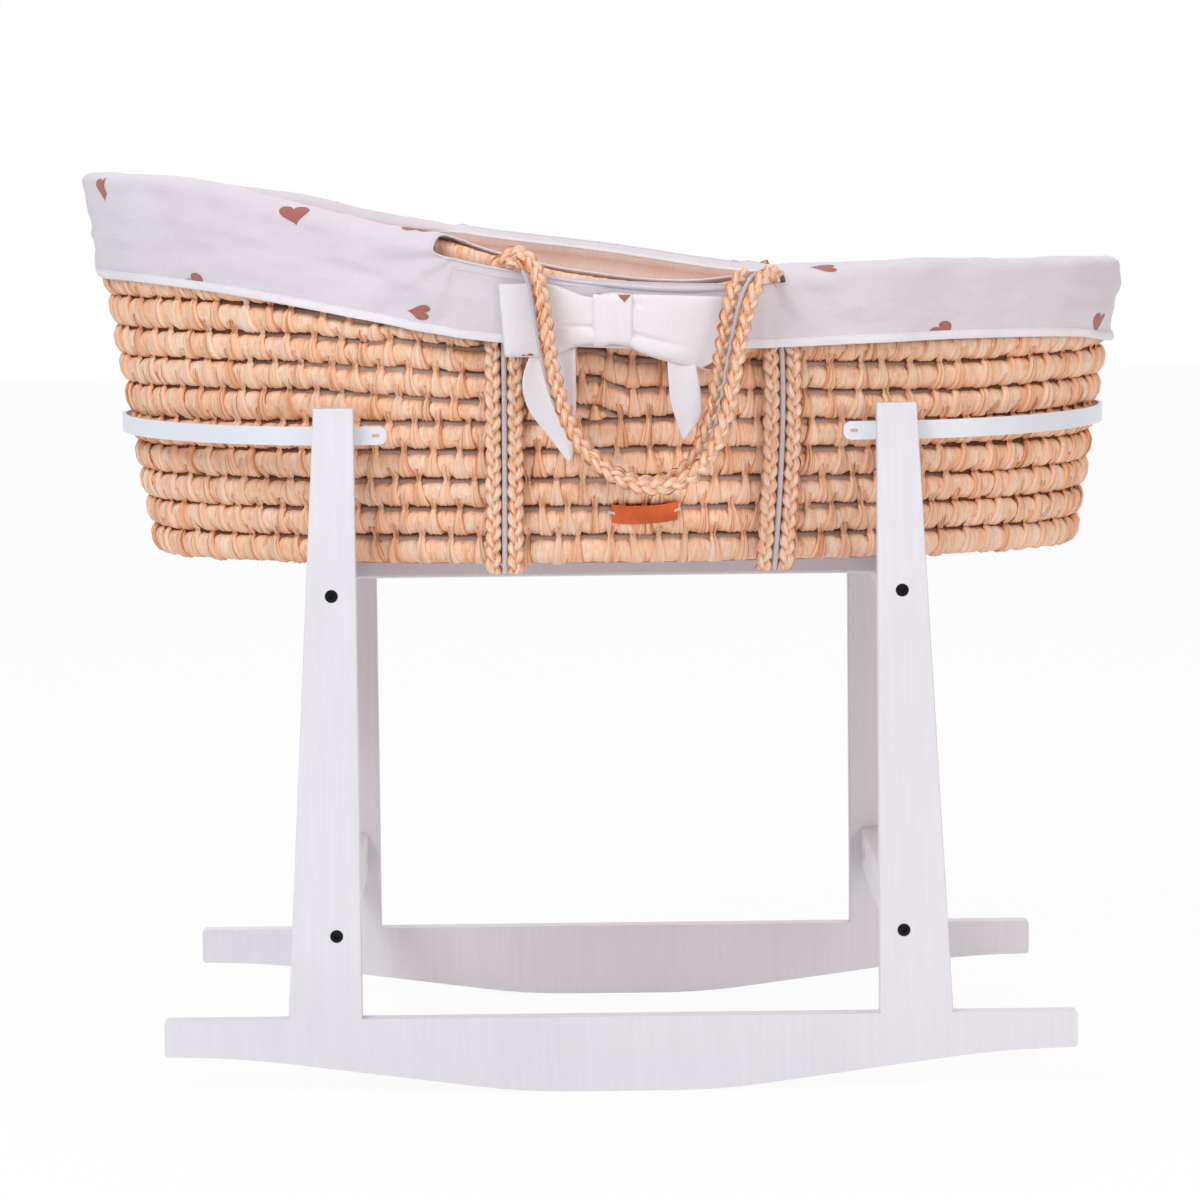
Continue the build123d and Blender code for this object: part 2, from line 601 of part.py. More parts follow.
def strap_point(x, z, side, offset):
    """Point on a wall strap's strand, which lies against the wall."""
    away = abs(wall_y(x + offset, z - SEAT, side)) + BRAID_RADIUS + BRAID_GAP
    return x + offset, side * away, z


# A strap of two braided strands with a cord between them is sewn up each side
# of the wall twice. It comes out of the slot in the cover as the handle.
for side_name, side in (("front", FRONT), ("rear", REAR)):
    for end_name, route in (("head", STRAP_HEAD), ("foot", STRAP_FOOT)):
        for part_name, offsets, radius, sides in (
            ("strap", (-BRAID_SPACING / 2, BRAID_SPACING / 2), BRAID_RADIUS, BRAID_SIDES),
            ("strap_cord", (0.0,), CORD_RADIUS, CORD_SIDES),
        ):
            with BuildPart() as strap:
                for offset in offsets:
                    points = [strap_point(x, z, side, offset) for x, z in route]
                    with BuildLine() as strand:
                        tube_path(points)
                    with BuildSketch(Plane(origin=strand.line @ 0, z_dir=strand.line % 0)):
                        RegularPolygon(radius, sides)
                    sweep(path=strand.line)
            strap.part.label = f"{part_name}_{side_name}_{end_name}"
            export_step(strap.part, f"parts/{part_name}_{side_name}_{end_name}.step")

    # The handle hangs down outside the cover, and outside the bow in front.
    for part_name, routes, radius, sides in (
        ("handle", (OUTER_BRAID, INNER_BRAID), BRAID_RADIUS, BRAID_SIDES),
        ("handle_cord", (HANDLE_CORD,), CORD_RADIUS, CORD_SIDES),
    ):
        with BuildPart() as handle:
            for route in routes:
                with BuildLine() as strand:
                    tube_path([(x, side * y, z) for x, y, z in route])
                with BuildSketch(Plane(origin=strand.line @ 0, z_dir=strand.line % 0)):
                    RegularPolygon(radius, sides)
                sweep(path=strand.line)
        handle.part.label = f"{part_name}_{side_name}"
        export_step(handle.part, f"parts/{part_name}_{side_name}.step")


# ---------------------------------------------------------------- tag and bow
def on_front(x, z, gap):
    """Plane that leans with the front of the wall and stands this far off it."""
    y = wall_y(x, z - SEAT, FRONT)
    slope = (wall_y(x + 1, z - SEAT, FRONT) - wall_y(x - 1, z - SEAT, FRONT)) / 2
    across = Vector(1, slope, 0).normalized()
    up = Vector(0, -SIDE_FLARE, 1).normalized()
    out = across.cross(up).normalized()
    return Plane(origin=Vector(x, y, z) + out * gap, x_dir=across, z_dir=out)


with BuildPart() as tag:
    with BuildSketch(on_front(TAG_X, TAG_Z, SKIRT_GAP)):
        RectangleRounded(*TAG_SIZE, TAG_ROUND)
        with GridLocations(TAG_HOLE_SPACING, 0, 2, 1):
            Circle(TAG_HOLE_RADIUS, mode=Mode.SUBTRACT)
    extrude(amount=TAG_THICKNESS)
tag.part.label = "leather_tag"
export_step(tag.part, "parts/leather_tag.step")

# The bow is sewn to the front of the skirt: two flattened loops, a knot and two tails.
BOW_GAP = SKIRT_GAP + 2 * BRAID_RADIUS + BRAID_GAP + CLOTH + SKIN_GAP + BOW_OFF_SKIRT
for name, outline in (("bow_loop_head", LEFT_WING), ("bow_loop_foot", RIGHT_WING)):
    middle_x = (outline[0][0] + outline[3][0]) / 2
    with BuildPart() as wing:
        with BuildSketch(on_front(middle_x, BOW_Z, BOW_GAP)):
            with BuildLine():
                Polyline(*[(x - middle_x, z - BOW_Z) for x, z in outline], close=True)
            make_face()
            fillet(vertices(), BOW_ROUND)
        extrude(amount=BOW_WING)
    wing.part.label = name
    export_step(wing.part, f"parts/{name}.step")

with BuildPart() as knot:
    with BuildSketch(on_front(KNOT_X, BOW_Z, BOW_GAP)):
        RectangleRounded(*KNOT_SIZE, BOW_ROUND)
    extrude(amount=BOW_KNOT)
    fillet(knot.faces().sort_by(Axis.Y)[0].edges(), BOW_ROUND)
knot.part.label = "bow_knot"
export_step(knot.part, "parts/bow_knot.step")

with BuildPart() as tails:
    tails_plane = Plane.XZ.offset(-wall_y(0, hem(0), FRONT) + BOW_GAP + TAILS_OFF_BOW)
    for outline in (LEFT_TAIL, RIGHT_TAIL):
        with BuildSketch(tails_plane):
            with BuildLine():
                Spline(*outline, periodic=True)
            make_face()
        extrude(amount=BOW_TAIL)
tails.part.label = "bow_tails"
export_step(tails.part, "parts/bow_tails.step")
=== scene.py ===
"""Looks of the bassinet on its rocking stand: straw basket, fabric cover, bow, handles, stand."""
import random
from math import acos, atan2, ceil, copysign, cos, exp, floor, hypot, pi, sin, sqrt

import bpy
from mathutils import Matrix, Vector, noise


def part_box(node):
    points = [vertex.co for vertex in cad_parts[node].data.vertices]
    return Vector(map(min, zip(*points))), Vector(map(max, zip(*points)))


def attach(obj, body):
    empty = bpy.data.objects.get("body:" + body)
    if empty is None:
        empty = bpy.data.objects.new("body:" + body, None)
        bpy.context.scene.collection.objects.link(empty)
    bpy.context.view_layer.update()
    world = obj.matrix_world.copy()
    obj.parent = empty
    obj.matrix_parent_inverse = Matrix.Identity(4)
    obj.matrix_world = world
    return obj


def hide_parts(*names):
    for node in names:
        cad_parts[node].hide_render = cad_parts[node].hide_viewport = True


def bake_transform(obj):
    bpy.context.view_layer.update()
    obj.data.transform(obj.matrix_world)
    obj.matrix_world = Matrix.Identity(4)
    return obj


MM = 0.001
FRONT, REAR = -1, 1
SIDES = (("front", FRONT), ("rear", REAR))

# ---- the basket's shape, in millimetres
SEAT = 430  # underside of the basket, above the floor
HEAD_REACH = 385.5
FOOT_REACH = 402.5
HALF_WIDTH = 198
HEAD_FLARE = 0.17  # the wall leans out by this share of its height
FOOT_FLARE = 0.15
SIDE_FLARE = 0.19
SQUARENESS = 2.2  # power of the oval plan: 2 would be an ellipse

# coils from the bottom up: whole ones by number, and short ones, which run round the head only
ROWS = (1, 2, 3, 4, 5, "a", 6, 7, "b", 8, 9, "c", 10)
FULL_ROWS = 10
PITCH = 23.9  # height of one whole row
SHORT_PITCH = 26.6  # and of a short one, where it is full
THIN_ROW = 2
SHORT_ROWS = {"a": (46, -294), "b": (-54, -374), "c": (-84, -446)}  # X where each starts and is full
STUBS = {"a": 0, "b": -104, "c": -190}  # X where each short row is cut off
STUB_RISE = 13.5  # a cut row's height there
DIP = 12  # the rim's sag towards the foot, round DIP_X
DIP_X = 270
DIP_SPAN = 300
COIL_DEPTH = 20
BASE_THICKNESS = 18
MATTRESS_LEVEL = 22  # above the seat

WALL_LEVEL = 190  # height at which places round the wall are measured
STITCH_STEP = 23.5
WRAP_WIDTH = 12.5  # of one strip of the leaf wound round a coil
DENT = 2  # how far a stitch pulls a row in
CUT_ROUND = 4  # rounding of a short row's cut end
CUT_STEPS = (0.5, 1.2, 2)
ROW_STEP = 3  # between two rings of a row's mesh
COVERED = 14  # a row this far above the hem needs no stitches: they don't show
ROW_GAP = 1.9  # half the gap between two rows in the middle
END_GAP = 0.7  # and towards the ends, where the rows lie closer
GAP_SPREAD = 0.9  # how much it varies
COIL_HALF_DEPTH = 9.3
CORE_COLUMNS = 420
CORE_INSET = 6.5  # of the shaded backing, from the wall's outside
LIFTED_ROWS = 3  # rows that take up the difference between the two rims below

# the real basket's rim stands off the even one, by side: (X, height)
RIM_FRONT = (
    (-440, 2), (-330, 5), (-200, 3.5), (-134, 9.5), (-88, 3.5), (-20, -5.5), (70, -8.5), (150, 5),
    (215, 12), (285, 13), (440, 1),
)
RIM_REAR = (
    (-440, -1), (-315, -5.5), (-225, -4), (-95, 4.2), (0, 1.3), (99, -8.4), (160, -10), (304, -2),
    (440, -4),
)

# (X, height above the seat) of the cover's lower edge
HEM = (
    (-440, 236), (-370, 234), (-290, 224), (-110, 191), (0, 182.5), (110, 180.5), (200, 182.5),
    (300, 183.5), (390, 180.5), (440, 172),
)
HEM_BAND = 6.5
SKIRT_GAP = 3.2
DEEPEST_FOLD = -0.9  # the cloth comes no nearer to the wall than this under SKIRT_GAP
# X between which the skirt comes out over the straps, and goes back
BRAID_ROOM_START = (-195, -112)
BRAID_ROOM_END = (200, 290)
SLOT_X = (-131, 138)  # ends of the slots for the handles
# (X, height above the seat) of their outer edge
SLOT_FLOOR = ((-134, 257), (-85, 247.5), (-43, 240.6), (8, 236), (76, 232.9), (144, 232))
SLOT_END_LEVEL = 258  # about the height of the slots' ends, which the folds fan out from
TURN_HEIGHT = 9  # the cover's turn over the rim starts this far below it
WELT_RISE = 5.7  # height above the turn's start at which it is sewn to the liner, along the slots
WELT_X = (-190, -120)  # towards the head the seam comes down to the turn's start
LINER_INSET = 21.5
SKIRT_STEPS, TURN_STEPS = 22, 14
SKIRT_STEP = 3.4  # height of one of the skirt's steps, about
TURN_STEP = 2.9  # and of one of the turn's first steps
# where the cloth goes on inside a slot, in steps up the cover
SLOT_INNER = {FRONT: SKIRT_STEPS + 0.72 * TURN_STEPS, REAR: SKIRT_STEPS + 0.60 * TURN_STEPS}
SLOT_ROUND = (14, 26)  # length of a slot's rounded end, along its outer and its inner edge

BRAID_RADIUS = 6.4
BRAID_GAP = 0.3  # between a strap and the wall
BRAID_SPACING = 18  # between the two plaits of a strap
CORD_RADIUS = 2.2
PLAIT_LENGTH = 35  # one full wave of a plait's strand
PLAIT_AROUND = 14  # points round a strand
# (X, height above the floor) along the straps, by the end of the handle that they carry
STRAP_HEAD = ((-85, 425), (-82, 612), (-84, 675))
STRAP_FOOT = ((136.5, 425), (151.5, 609), (134.5, 661))

# handle routes: out of the slot at the head, over the skirt's edge, down, and back in at the foot, each
# point (X, distance from the middle, height above the floor)
OUTER_BRAID = (
    (-88, 248, 662), (-87, 248.5, 676), (-82, 253.5, 686), (-74, 261, 689), (-65, 270, 688),
    (-58.5, 279, 681), (-54, 286, 668), (-50.5, 287.2, 648), (-47.5, 287.2, 618), (-42, 287.2, 585),
    (-31, 287.2, 549), (-10, 287.2, 517), (28, 287.2, 497.5), (64, 287.2, 504), (88, 287.2, 532),
    (98, 287.2, 568), (104.5, 287.2, 605), (111.5, 287.2, 636), (117, 286, 655), (124, 279, 667),
    (132, 267, 672), (138, 254, 671), (139, 243, 664), (139, 239, 654),
)
INNER_BRAID = (
    (-92, 248, 660), (-91, 248.5, 673), (-86, 253, 682), (-78, 259, 685), (-69, 266, 684), (-61, 272, 676),
    (-56, 274, 664), (-52, 274, 648), (-48, 274, 616), (-42, 273, 585), (-31, 270, 549), (-10, 268.5, 518),
    (27, 268.5, 499.5), (59, 268.5, 506), (79, 268.5, 534), (87, 270, 568), (92, 272.5, 603),
    (97, 274, 636), (101, 274, 654), (104, 271, 665), (109, 262, 670), (114, 252, 668), (117, 244, 660),
    (117, 241, 652),
)
HANDLE_CORD = (
    (-86, 248, 660), (-84, 249, 671), (-79, 256, 679), (-72, 265, 681), (-66, 273, 676),
    (-61.5, 279.5, 666), (-58.5, 280.6, 648), (-54.5, 280.6, 617), (-47.5, 279.3, 582), (-34, 278.6, 546),
    (-8, 276.6, 514), (28, 276.4, 496), (63, 276.4, 503), (85, 277, 534), (93, 278.2, 572),
    (98.5, 279.5, 605), (104.5, 280.6, 637), (109.5, 281, 655), (115.5, 276, 667), (122, 267, 671.5),
    (127, 254, 669), (129, 245, 661), (129, 241, 652),
)
REAR_CREST = (666, 645.5)  # above this the rear handle is flattened, at the head and at the foot
REAR_ROOM = 9  # by how much it still rises past that

# ---- camera, in metres and radians
CAMERA_AT = (-0.0322, -4.5323, 0.8394)
CAMERA_LENS = 158.95
CAMERA_PITCH = 0.1007  # looks down by this angle
CAMERA_YAW = -0.0058
CAMERA_ROLL = -0.0107

WHITE_SHARE = 0.93  # of the floor that the camera sees as plain white
SKY_LIGHT = 0.36  # of the world on the object
LAMPS = (
    # name, place, size, power, colour
    ("key", (-1.9, -3.1, 3.3), 1.9, 94, (0.97, 0.98, 1)),
    ("fill", (2.6, -3, 1.8), 2.6, 41, (1, 0.88, 0.80)),
    ("top", (0.2, 0.6, 3.4), 2.2, 22, (1, 1, 1)),
)
LAMPS_AIM = (0, 0, 0.45)

RNG = random.Random(7)


# ---- helpers
def ease(value, start, finish):
    """0 up to start, 1 from finish on, smooth between them."""
    share = min(max((value - start) / (finish - start), 0), 1)
    return share * share * (3 - 2 * share)


def mix(a, b, share):
    return a + (b - a) * share


def curve_at(points, x):
    """Height at x of a smooth curve through these (x, height) points, level past its ends."""
    if x <= points[0][0]:
        return points[0][1]
    if x >= points[-1][0]:
        return points[-1][1]
    i = max(n for n, point in enumerate(points) if point[0] <= x)

    def slope(n):
        if n in (0, len(points) - 1):
            return 0
        return (points[n + 1][1] - points[n - 1][1]) / (points[n + 1][0] - points[n - 1][0])

    (x0, low), (x1, high) = points[i], points[i + 1]
    span = x1 - x0
    t = (x - x0) / span
    rise = high - low
    bend = t * (1 - t) * ((1 - t) * (slope(i) * span - rise) - t * (slope(i + 1) * span - rise))
    return mix(low, high, t) + bend


def looked_up(targets, lengths, values, between):
    """Values at these lengths along a line, worked out between the two nearest."""
    result, i = [], 0
    for target in targets:
        while i < len(lengths) - 2 and lengths[i + 1] < target:
            i += 1
        share = (target - lengths[i]) / max(1e-9, lengths[i + 1] - lengths[i])
        result.append(between(values[i], values[i + 1], share))
    return result


def waver(x, y, z, size):
    """Smooth noise from -1 to 1 with features of this size."""
    return noise.noise((x / size, y / size, z / size))


def turns(count):
    return [2 * pi * j / count for j in range(count)]


def both_faces(count):
    """(face, step) of a flat closed strip: back along its back, and on along its front."""
    return [(-1, i) for i in range(count, -1, -1)] + [(1, i) for i in range(count + 1)]


def linear(r, g, b):
    """Scene-linear colour of an sRGB colour in 0 to 255."""
    def channel(c):
        c /= 255
        return c / 12.92 if c <= 0.04045 else ((c + 0.055) / 1.055) ** 2.4
    return (channel(r), channel(g), channel(b), 1)


class Soup:
    """A mesh put together from grids of points, in millimetres, with UVs in metres."""

    def __init__(self):
        self.points, self.faces, self.uvs, self.tones = [], [], [], []

    def grid(self, rows, wrap_rows=False, wrap_columns=False, us=2, vs=2, tone=0.5, u0=0):
        """Adds rows of points. us and vs are the steps, or the places, in millimetres, of the rows and the
        points in a row. tone is a number or a function of the row and the point."""
        start, count, width = len(self.points), len(rows), len(rows[0])
        us = [i * us for i in range(count + 1)] if isinstance(us, (int, float)) else us
        vs = [j * vs for j in range(width + 1)] if isinstance(vs, (int, float)) else vs
        for i, row in enumerate(rows):
            self.points += row
            self.tones += [tone(i, j) if callable(tone) else tone for j in range(width)]
        for i in range(count if wrap_rows else count - 1):
            for j in range(width if wrap_columns else width - 1):
                a, b = start + i * width, start + (i + 1) % count * width
                self.faces.append((a + j, b + j, b + (j + 1) % width, a + (j + 1) % width))
                u, far_u = u0 + us[i] * MM, u0 + us[i + 1] * MM
                v, far_v = vs[j] * MM, vs[j + 1] * MM
                self.uvs += [(u, v), (far_u, v), (far_u, far_v), (u, far_v)]

    def cap(self, indices, tone=0.5):
        """Closes a ring of the last added points with a fan round its middle."""
        middle = [sum(self.points[k][axis] for k in indices) / len(indices) for axis in range(3)]
        self.points.append(tuple(middle))
        self.tones.append(tone)
        hub = len(self.points) - 1
        for k, index in enumerate(indices):
            following = indices[(k + 1) % len(indices)]
            self.faces.append((index, following, hub))
            self.uvs += [(0, 0), (0.002, 0), (0.001, 0.002)]

    def close(self, rows, tone=0.5):
        """Closes both ends of the tube whose rings were added last."""
        around = len(rows[0])
        first, last = len(self.points) - len(rows) * around, len(self.points) - around
        self.cap(range(first + around - 1, first - 1, -1), tone)
        self.cap(range(last, last + around), tone)

    def make(self, name, material, slot, *replaced, body="basket", ride=True):
        mesh = bpy.data.meshes.new(name)
        mesh.from_pydata([(x * MM, y * MM, z * MM) for x, y, z in self.points], [], self.faces)
        layer = mesh.uv_layers.new(name="UVMap")
        layer.data.foreach_set("uv", [c for uv in self.uvs for c in uv])
        mesh.attributes.new("tone", "FLOAT", "POINT").data.foreach_set("value", self.tones)
        mesh.polygons.foreach_set("use_smooth", [True] * len(mesh.polygons))
        mesh.update()
        piece = bpy.data.objects.new(name, mesh)
        bpy.context.scene.collection.objects.link(piece)
        mesh.materials.append(material)
        if ride:
            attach(piece, body)
        if replaced:
            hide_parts(*replaced)
        return piece


# ---- materials
class Shader:
    """A node material with a principled shader, and short calls for the nodes it needs."""

    def __init__(self, name, roughness, **sockets):
        self.material = bpy.data.materials.new(name)
        self.material.use_nodes = True
        self.tree = self.material.node_tree
        self.shader = self.tree.nodes["Principled BSDF"]
        self.shader.inputs["Roughness"].default_value = roughness
        for socket, value in sockets.items():
            self.shader.inputs[socket.replace("_", " ")].default_value = value

    def node(self, kind, *sources, **values):
        """Node with these attributes or input values, and with sockets or numbers for its first inputs."""
        made = self.tree.nodes.new(kind)
        for key, value in values.items():
            if hasattr(made, key):
                setattr(made, key, value)
            else:
                made.inputs[key.replace("_", " ")].default_value = value
        for source, target in zip(sources, made.inputs):
            if isinstance(source, (int, float)):
                target.default_value = source
            else:
                self.tree.links.new(source, target)
        return made

    def coordinates(self, *scales):
        """Place on the UV map at two scales, or in the object's space at three."""
        place = self.node("ShaderNodeTexCoord").outputs["UV" if len(scales) == 2 else "Object"]
        return self.node("ShaderNodeMapping", place, Scale=(*scales, 1)[:3]).outputs["Vector"]

    def noise(self, scales, detail=3, rough=0.55):
        """Noise at one scale or three in the object's space, or at two on the UV map."""
        vector = self.coordinates(*(scales if isinstance(scales, tuple) else (scales,) * 3))
        made = self.node("ShaderNodeTexNoise", vector, Scale=1, Detail=detail, Roughness=rough)
        return made.outputs["Fac"]

    def ramp(self, value, *stops):
        """Base colour from a ramp: stops are (position, sRGB colour)."""
        made = self.node("ShaderNodeValToRGB", value)
        elements = made.color_ramp.elements
        while len(elements) < len(stops):
            elements.new(0.5)
        for element, (position, colour) in zip(elements, stops):
            element.position = position
            element.color = linear(*colour)
        self.tree.links.new(made.outputs["Color"], self.shader.inputs["Base Color"])

    def maths(self, kind, *values):
        return self.node("ShaderNodeMath", *values, operation=kind).outputs[0]

    def total(self, start, *parts):
        """start and the sum of the parts, each (socket, weight)."""
        for socket, weight in parts:
            start = self.maths("MULTIPLY_ADD", socket, weight, start)
        return start

    def tone(self):
        return self.node("ShaderNodeAttribute", attribute_name="tone").outputs["Fac"]

    def bump(self, height, distance, strength):
        made = self.node("ShaderNodeBump", Strength=strength, Distance=distance)
        self.tree.links.new(height, made.inputs["Height"])
        normal = self.shader.inputs["Normal"]
        if normal.links:
            self.tree.links.new(normal.links[0].from_socket, made.inputs["Normal"])
        self.tree.links.new(made.outputs["Normal"], normal)

    def surface(self, shader):
        self.tree.links.new(shader.outputs[0], self.tree.nodes["Material Output"].inputs["Surface"])


def straw_material(name, along, across, painted_crease_shade=0.26):
    """Dried leaf: fine fibres, creases in painted shade, lighter and darker leaf, and a soft gloss."""
    made = Shader(name, 0.40, Specular_IOR_Level=0.5)
    fibre = made.noise((along, across), 4, 0.65)
    strand = made.noise((along * 0.3, across * 0.5), 2)
    spots = made.noise(38)
    # fine creases: the bump gives their relief, and their dark lines are painted shade
    from_middle = made.maths("SUBTRACT", made.noise((along * 0.12, across * 0.2), 2), 0.5)
    crease = made.maths("MULTIPLY", made.maths("ABSOLUTE", from_middle), 22)
    crease = made.maths("MINIMUM", crease, 1)
    shade = made.total(
        -0.20 - painted_crease_shade,
        (fibre, 0.50), (strand, 0.30), (spots, 0.22), (made.tone(), 0.62), (crease, painted_crease_shade),
    )
    leaf = (0.05, (134, 68, 36)), (0.28, (225, 148, 100)), (0.52, (255, 198, 158)), (0.88, (255, 230, 210))
    made.ramp(shade, *leaf)
    made.bump(fibre, 0.0009, 0.7)
    made.bump(strand, 0.0012, 0.5)
    made.bump(crease, 0.0005, 0.6)
    return made.material


def cotton_material(name, pale, shaded, weave=1500):
    """Thin woven cotton: crossed threads, faint slubs, and the painted shade that a piece sets in its tone.
    """
    made = Shader(name, 0.82, Sheen_Weight=0.15, Sheen_Roughness=0.5, Specular_IOR_Level=0.25)
    warp = made.noise((weave, weave * 0.06), 2)
    weft = made.noise((weave * 0.06, weave), 2)
    threads = made.total(0, (warp, 0.5), (weft, 0.5))
    shade = made.total(-0.5, (threads, 0.5), (made.noise(9), 0.6), (made.tone(), 1))
    made.ramp(shade, (0.30, shaded), (0.72, pale))
    made.bump(threads, 0.0003, 0.55)
    return made.material


def cord_material(name, shaded, pale):
    """Twisted cotton."""
    made = Shader(name, 0.8, Sheen_Weight=0.2)
    vector = made.coordinates(420, 210)
    twist = made.node("ShaderNodeTexWave", vector, Scale=1, Distortion=0.4, bands_direction="DIAGONAL")
    shade = made.total(0, (twist.outputs["Fac"], 0.6), (made.noise(900, 2), 0.4))
    made.ramp(shade, (0.15, shaded), (0.8, pale))
    made.bump(twist.outputs["Fac"], 0.0005, 0.6)
    return made.material


def plain_material(name, roughness, dark, pale, *grains, **sockets):
    """dark and pale are the ramp's stops. A grain is (scales, detail, weight in the colour, bump's distance,
    bump's strength)."""
    made = Shader(name, roughness, **sockets)
    shade = 0
    for scales, detail, weight, distance, strength in grains:
        grain = made.noise(scales, detail)
        if weight:
            shade = made.total(shade, (grain, weight))
        if distance:
            made.bump(grain, distance, strength)
    made.ramp(shade, dark, pale)
    return made.material


STRAW_COIL = straw_material("coiled_straw", 1500, 60, 0.17)
STRAW_STITCH = straw_material("sewing_straw", 1500, 55)
STRAW_CORE = cotton_material("shaded_backing", (190, 168, 158), (92, 56, 38))
STRAW_PLAIT = straw_material("plaited_straw", 60, 1100)
COVER = cotton_material("printed_cotton", (231, 225, 234), (214, 205, 214))
# liner: pinkish cotton, made browner as painted shade and painted light bounced off the straw
LINER = cotton_material("liner_cotton", (234, 210, 202), (200, 160, 142))
BOW = cotton_material("bow_cotton", (244, 242, 248), (231, 227, 234), 1300)
HEART = cotton_material("heart_print", (182, 118, 110), (162, 100, 94))
TICKING = cotton_material("mattress_cotton", (244, 244, 244), (232, 232, 234), 1100)
CORD = cord_material("grey_cotton_cord", (186, 180, 188), (224, 220, 228))
CORD_WHITE = cord_material("white_thread", (214, 210, 206), (244, 242, 238))
LACQUER = plain_material(
    "white_lacquered_wood", 0.42, (0.3, (226, 224, 232)), (0.7, (236, 235, 243)),
    ((220, 220, 12), 3, 0.4, 0.0003, 0.25), (5, 2, 0.6, 0, 0), (420, 2, 0, 0.0002, 0.25),
    Specular_IOR_Level=0.4, Coat_Weight=0.12, Coat_Roughness=0.35,
)
POWDER = plain_material(
    "white_powder_coat", 0.33, (0.3, (226, 231, 242)), (0.7, (238, 242, 250)),
    (6, 2, 1, 0, 0), (900, 2, 0, 0.00015, 0.4), Specular_IOR_Level=0.5,
)
STEEL = plain_material(
    "black_oxide_steel", 0.38, (0.3, (14, 14, 16)), (0.7, (38, 38, 42)),
    (700, 3, 1, 0.0001, 0.3), Metallic=0.7,
)
BEECH = plain_material(
    "bare_beech", 0.6, (0.35, (190, 150, 108)), (0.7, (216, 182, 140)),
    ((360, 360, 56), 3, 1, 0.0002, 0.3),
)
LEATHER = plain_material(
    "tan_leather", 0.48, (0.25, (180, 70, 24)), (0.7, (230, 106, 42)),
    (1400, 3, 0.35, 0.0003, 0.6), (60, 3, 0.65, 0, 0), Specular_IOR_Level=0.45,
)

# ---- the frame
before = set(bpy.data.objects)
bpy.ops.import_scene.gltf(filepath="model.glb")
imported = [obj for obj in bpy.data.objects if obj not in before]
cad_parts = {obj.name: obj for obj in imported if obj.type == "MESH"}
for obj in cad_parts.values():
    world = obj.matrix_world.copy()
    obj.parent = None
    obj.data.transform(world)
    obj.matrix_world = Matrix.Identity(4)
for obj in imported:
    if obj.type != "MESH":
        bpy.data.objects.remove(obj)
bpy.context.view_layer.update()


def dress_nodes():
    """The wooden and metal nodes, named here by how they start, keep their shapes and get their finish."""
    for material, starts in (
        (LACQUER, ("rocker_", "leg_front_", "leg_rear_", "cross_rail_", "stretcher_rail")),
        (POWDER, ("hoop_head", "hoop_foot")),
        (STEEL, ("leg_bolts", "barrel_nuts", "hoop_screws")),
        (BEECH, ("leg_dowels", "stretcher_dowels")),
        (STRAW_COIL, ("basket_base",)),
    ):
        for name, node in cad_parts.items():
            if name.startswith(starts):
                for slot in node.material_slots:
                    slot.material = material


# ---- the wall's rows
def cad_rise(row, x):
    if row in SHORT_ROWS:
        start, finish = SHORT_ROWS[row]
        return THIN_ROW + (SHORT_PITCH - THIN_ROW) * ease(-x, -start, -finish)
    offset = (x - DIP_X) / DIP_SPAN
    sag = DIP * cos(offset * pi / 2) ** 2 if abs(offset) < 1 else 0
    return PITCH - sag / FULL_ROWS


def rim(x):
    """Height of the wall's top above the seat."""
    return sum(cad_rise(row, x) for row in ROWS)


def short_rise(row, x):
    """Height that a short row lifts the rows above it: they climb over its cut end."""
    stub = STUBS[row]
    grown = STUB_RISE + (SHORT_PITCH - STUB_RISE) * ease(-x, -stub, -SHORT_ROWS[row][1])
    return grown * ease(-x, -stub - 20, -stub + 12)


def row_edges(x):
    """Heights of the boundaries between rows, from the seat to the rim."""
    low = mix(PITCH, rim(x) / FULL_ROWS, ease(x, -20, 60))
    first = ROWS.index("a")
    shorts = {row: short_rise(row, x) for row in SHORT_ROWS}
    upper = (rim(x) - first * low - sum(shorts.values())) / (FULL_ROWS - first)
    edges, height = [0], 0
    for k, row in enumerate(ROWS):
        height += shorts[row] if row in SHORT_ROWS else (low if k < first else upper)
        edges.append(height)
    return edges


def outline_point(angle, height, inset=0):
    c, s = cos(angle), sin(angle)
    reach = FOOT_REACH + FOOT_FLARE * height if c > 0 else HEAD_REACH + HEAD_FLARE * height
    half_width = HALF_WIDTH + SIDE_FLARE * height
    x = (reach - inset) * copysign(abs(c) ** (2 / SQUARENESS), c)
    y = (half_width - inset) * copysign(abs(s) ** (2 / SQUARENESS), s)
    return x, y


def wall_y(x, height):
    """Y of the wall's front at this X and height."""
    reach = FOOT_REACH + FOOT_FLARE * height if x > 0 else HEAD_REACH + HEAD_FLARE * height
    share = min(1, (abs(x) / reach) ** SQUARENESS)
    return FRONT * (HALF_WIDTH + SIDE_FLARE * height) * (1 - share) ** (1 / SQUARENESS)


def even_angles(count=4000):
    """Length round the wall at WALL_LEVEL, and the outline's angle at even steps of it from the head end."""
    angles = [-pi + 2 * pi * i / count for i in range(count + 1)]
    places = [outline_point(angle, WALL_LEVEL) for angle in angles]
    lengths = [0]
    for p, q in zip(places, places[1:]):
        lengths.append(lengths[-1] + sqrt((p[0] - q[0]) ** 2 + (p[1] - q[1]) ** 2))
    steps = [min(n * TABLE_STEP, lengths[-1]) for n in range(int(lengths[-1] / TABLE_STEP) + 2)]
    return lengths[-1], looked_up(steps, lengths, angles, mix)


TABLE_STEP = 2  # of the tables below, in millimetres round the wall
PERIMETER, EVEN_ANGLES = even_angles()


def angle_at(s):
    """Angle of the point this far round the wall, in millimetres from the head end."""
    place = s % PERIMETER / TABLE_STEP
    i = int(place)
    return mix(EVEN_ANGLES[i], EVEN_ANGLES[i + 1], place - i)


def plan(s, height=WALL_LEVEL, inset=0):
    """X and Y of the wall's outside, or this far inside it, at this distance round and this height."""
    return outline_point(angle_at(s), height, inset)


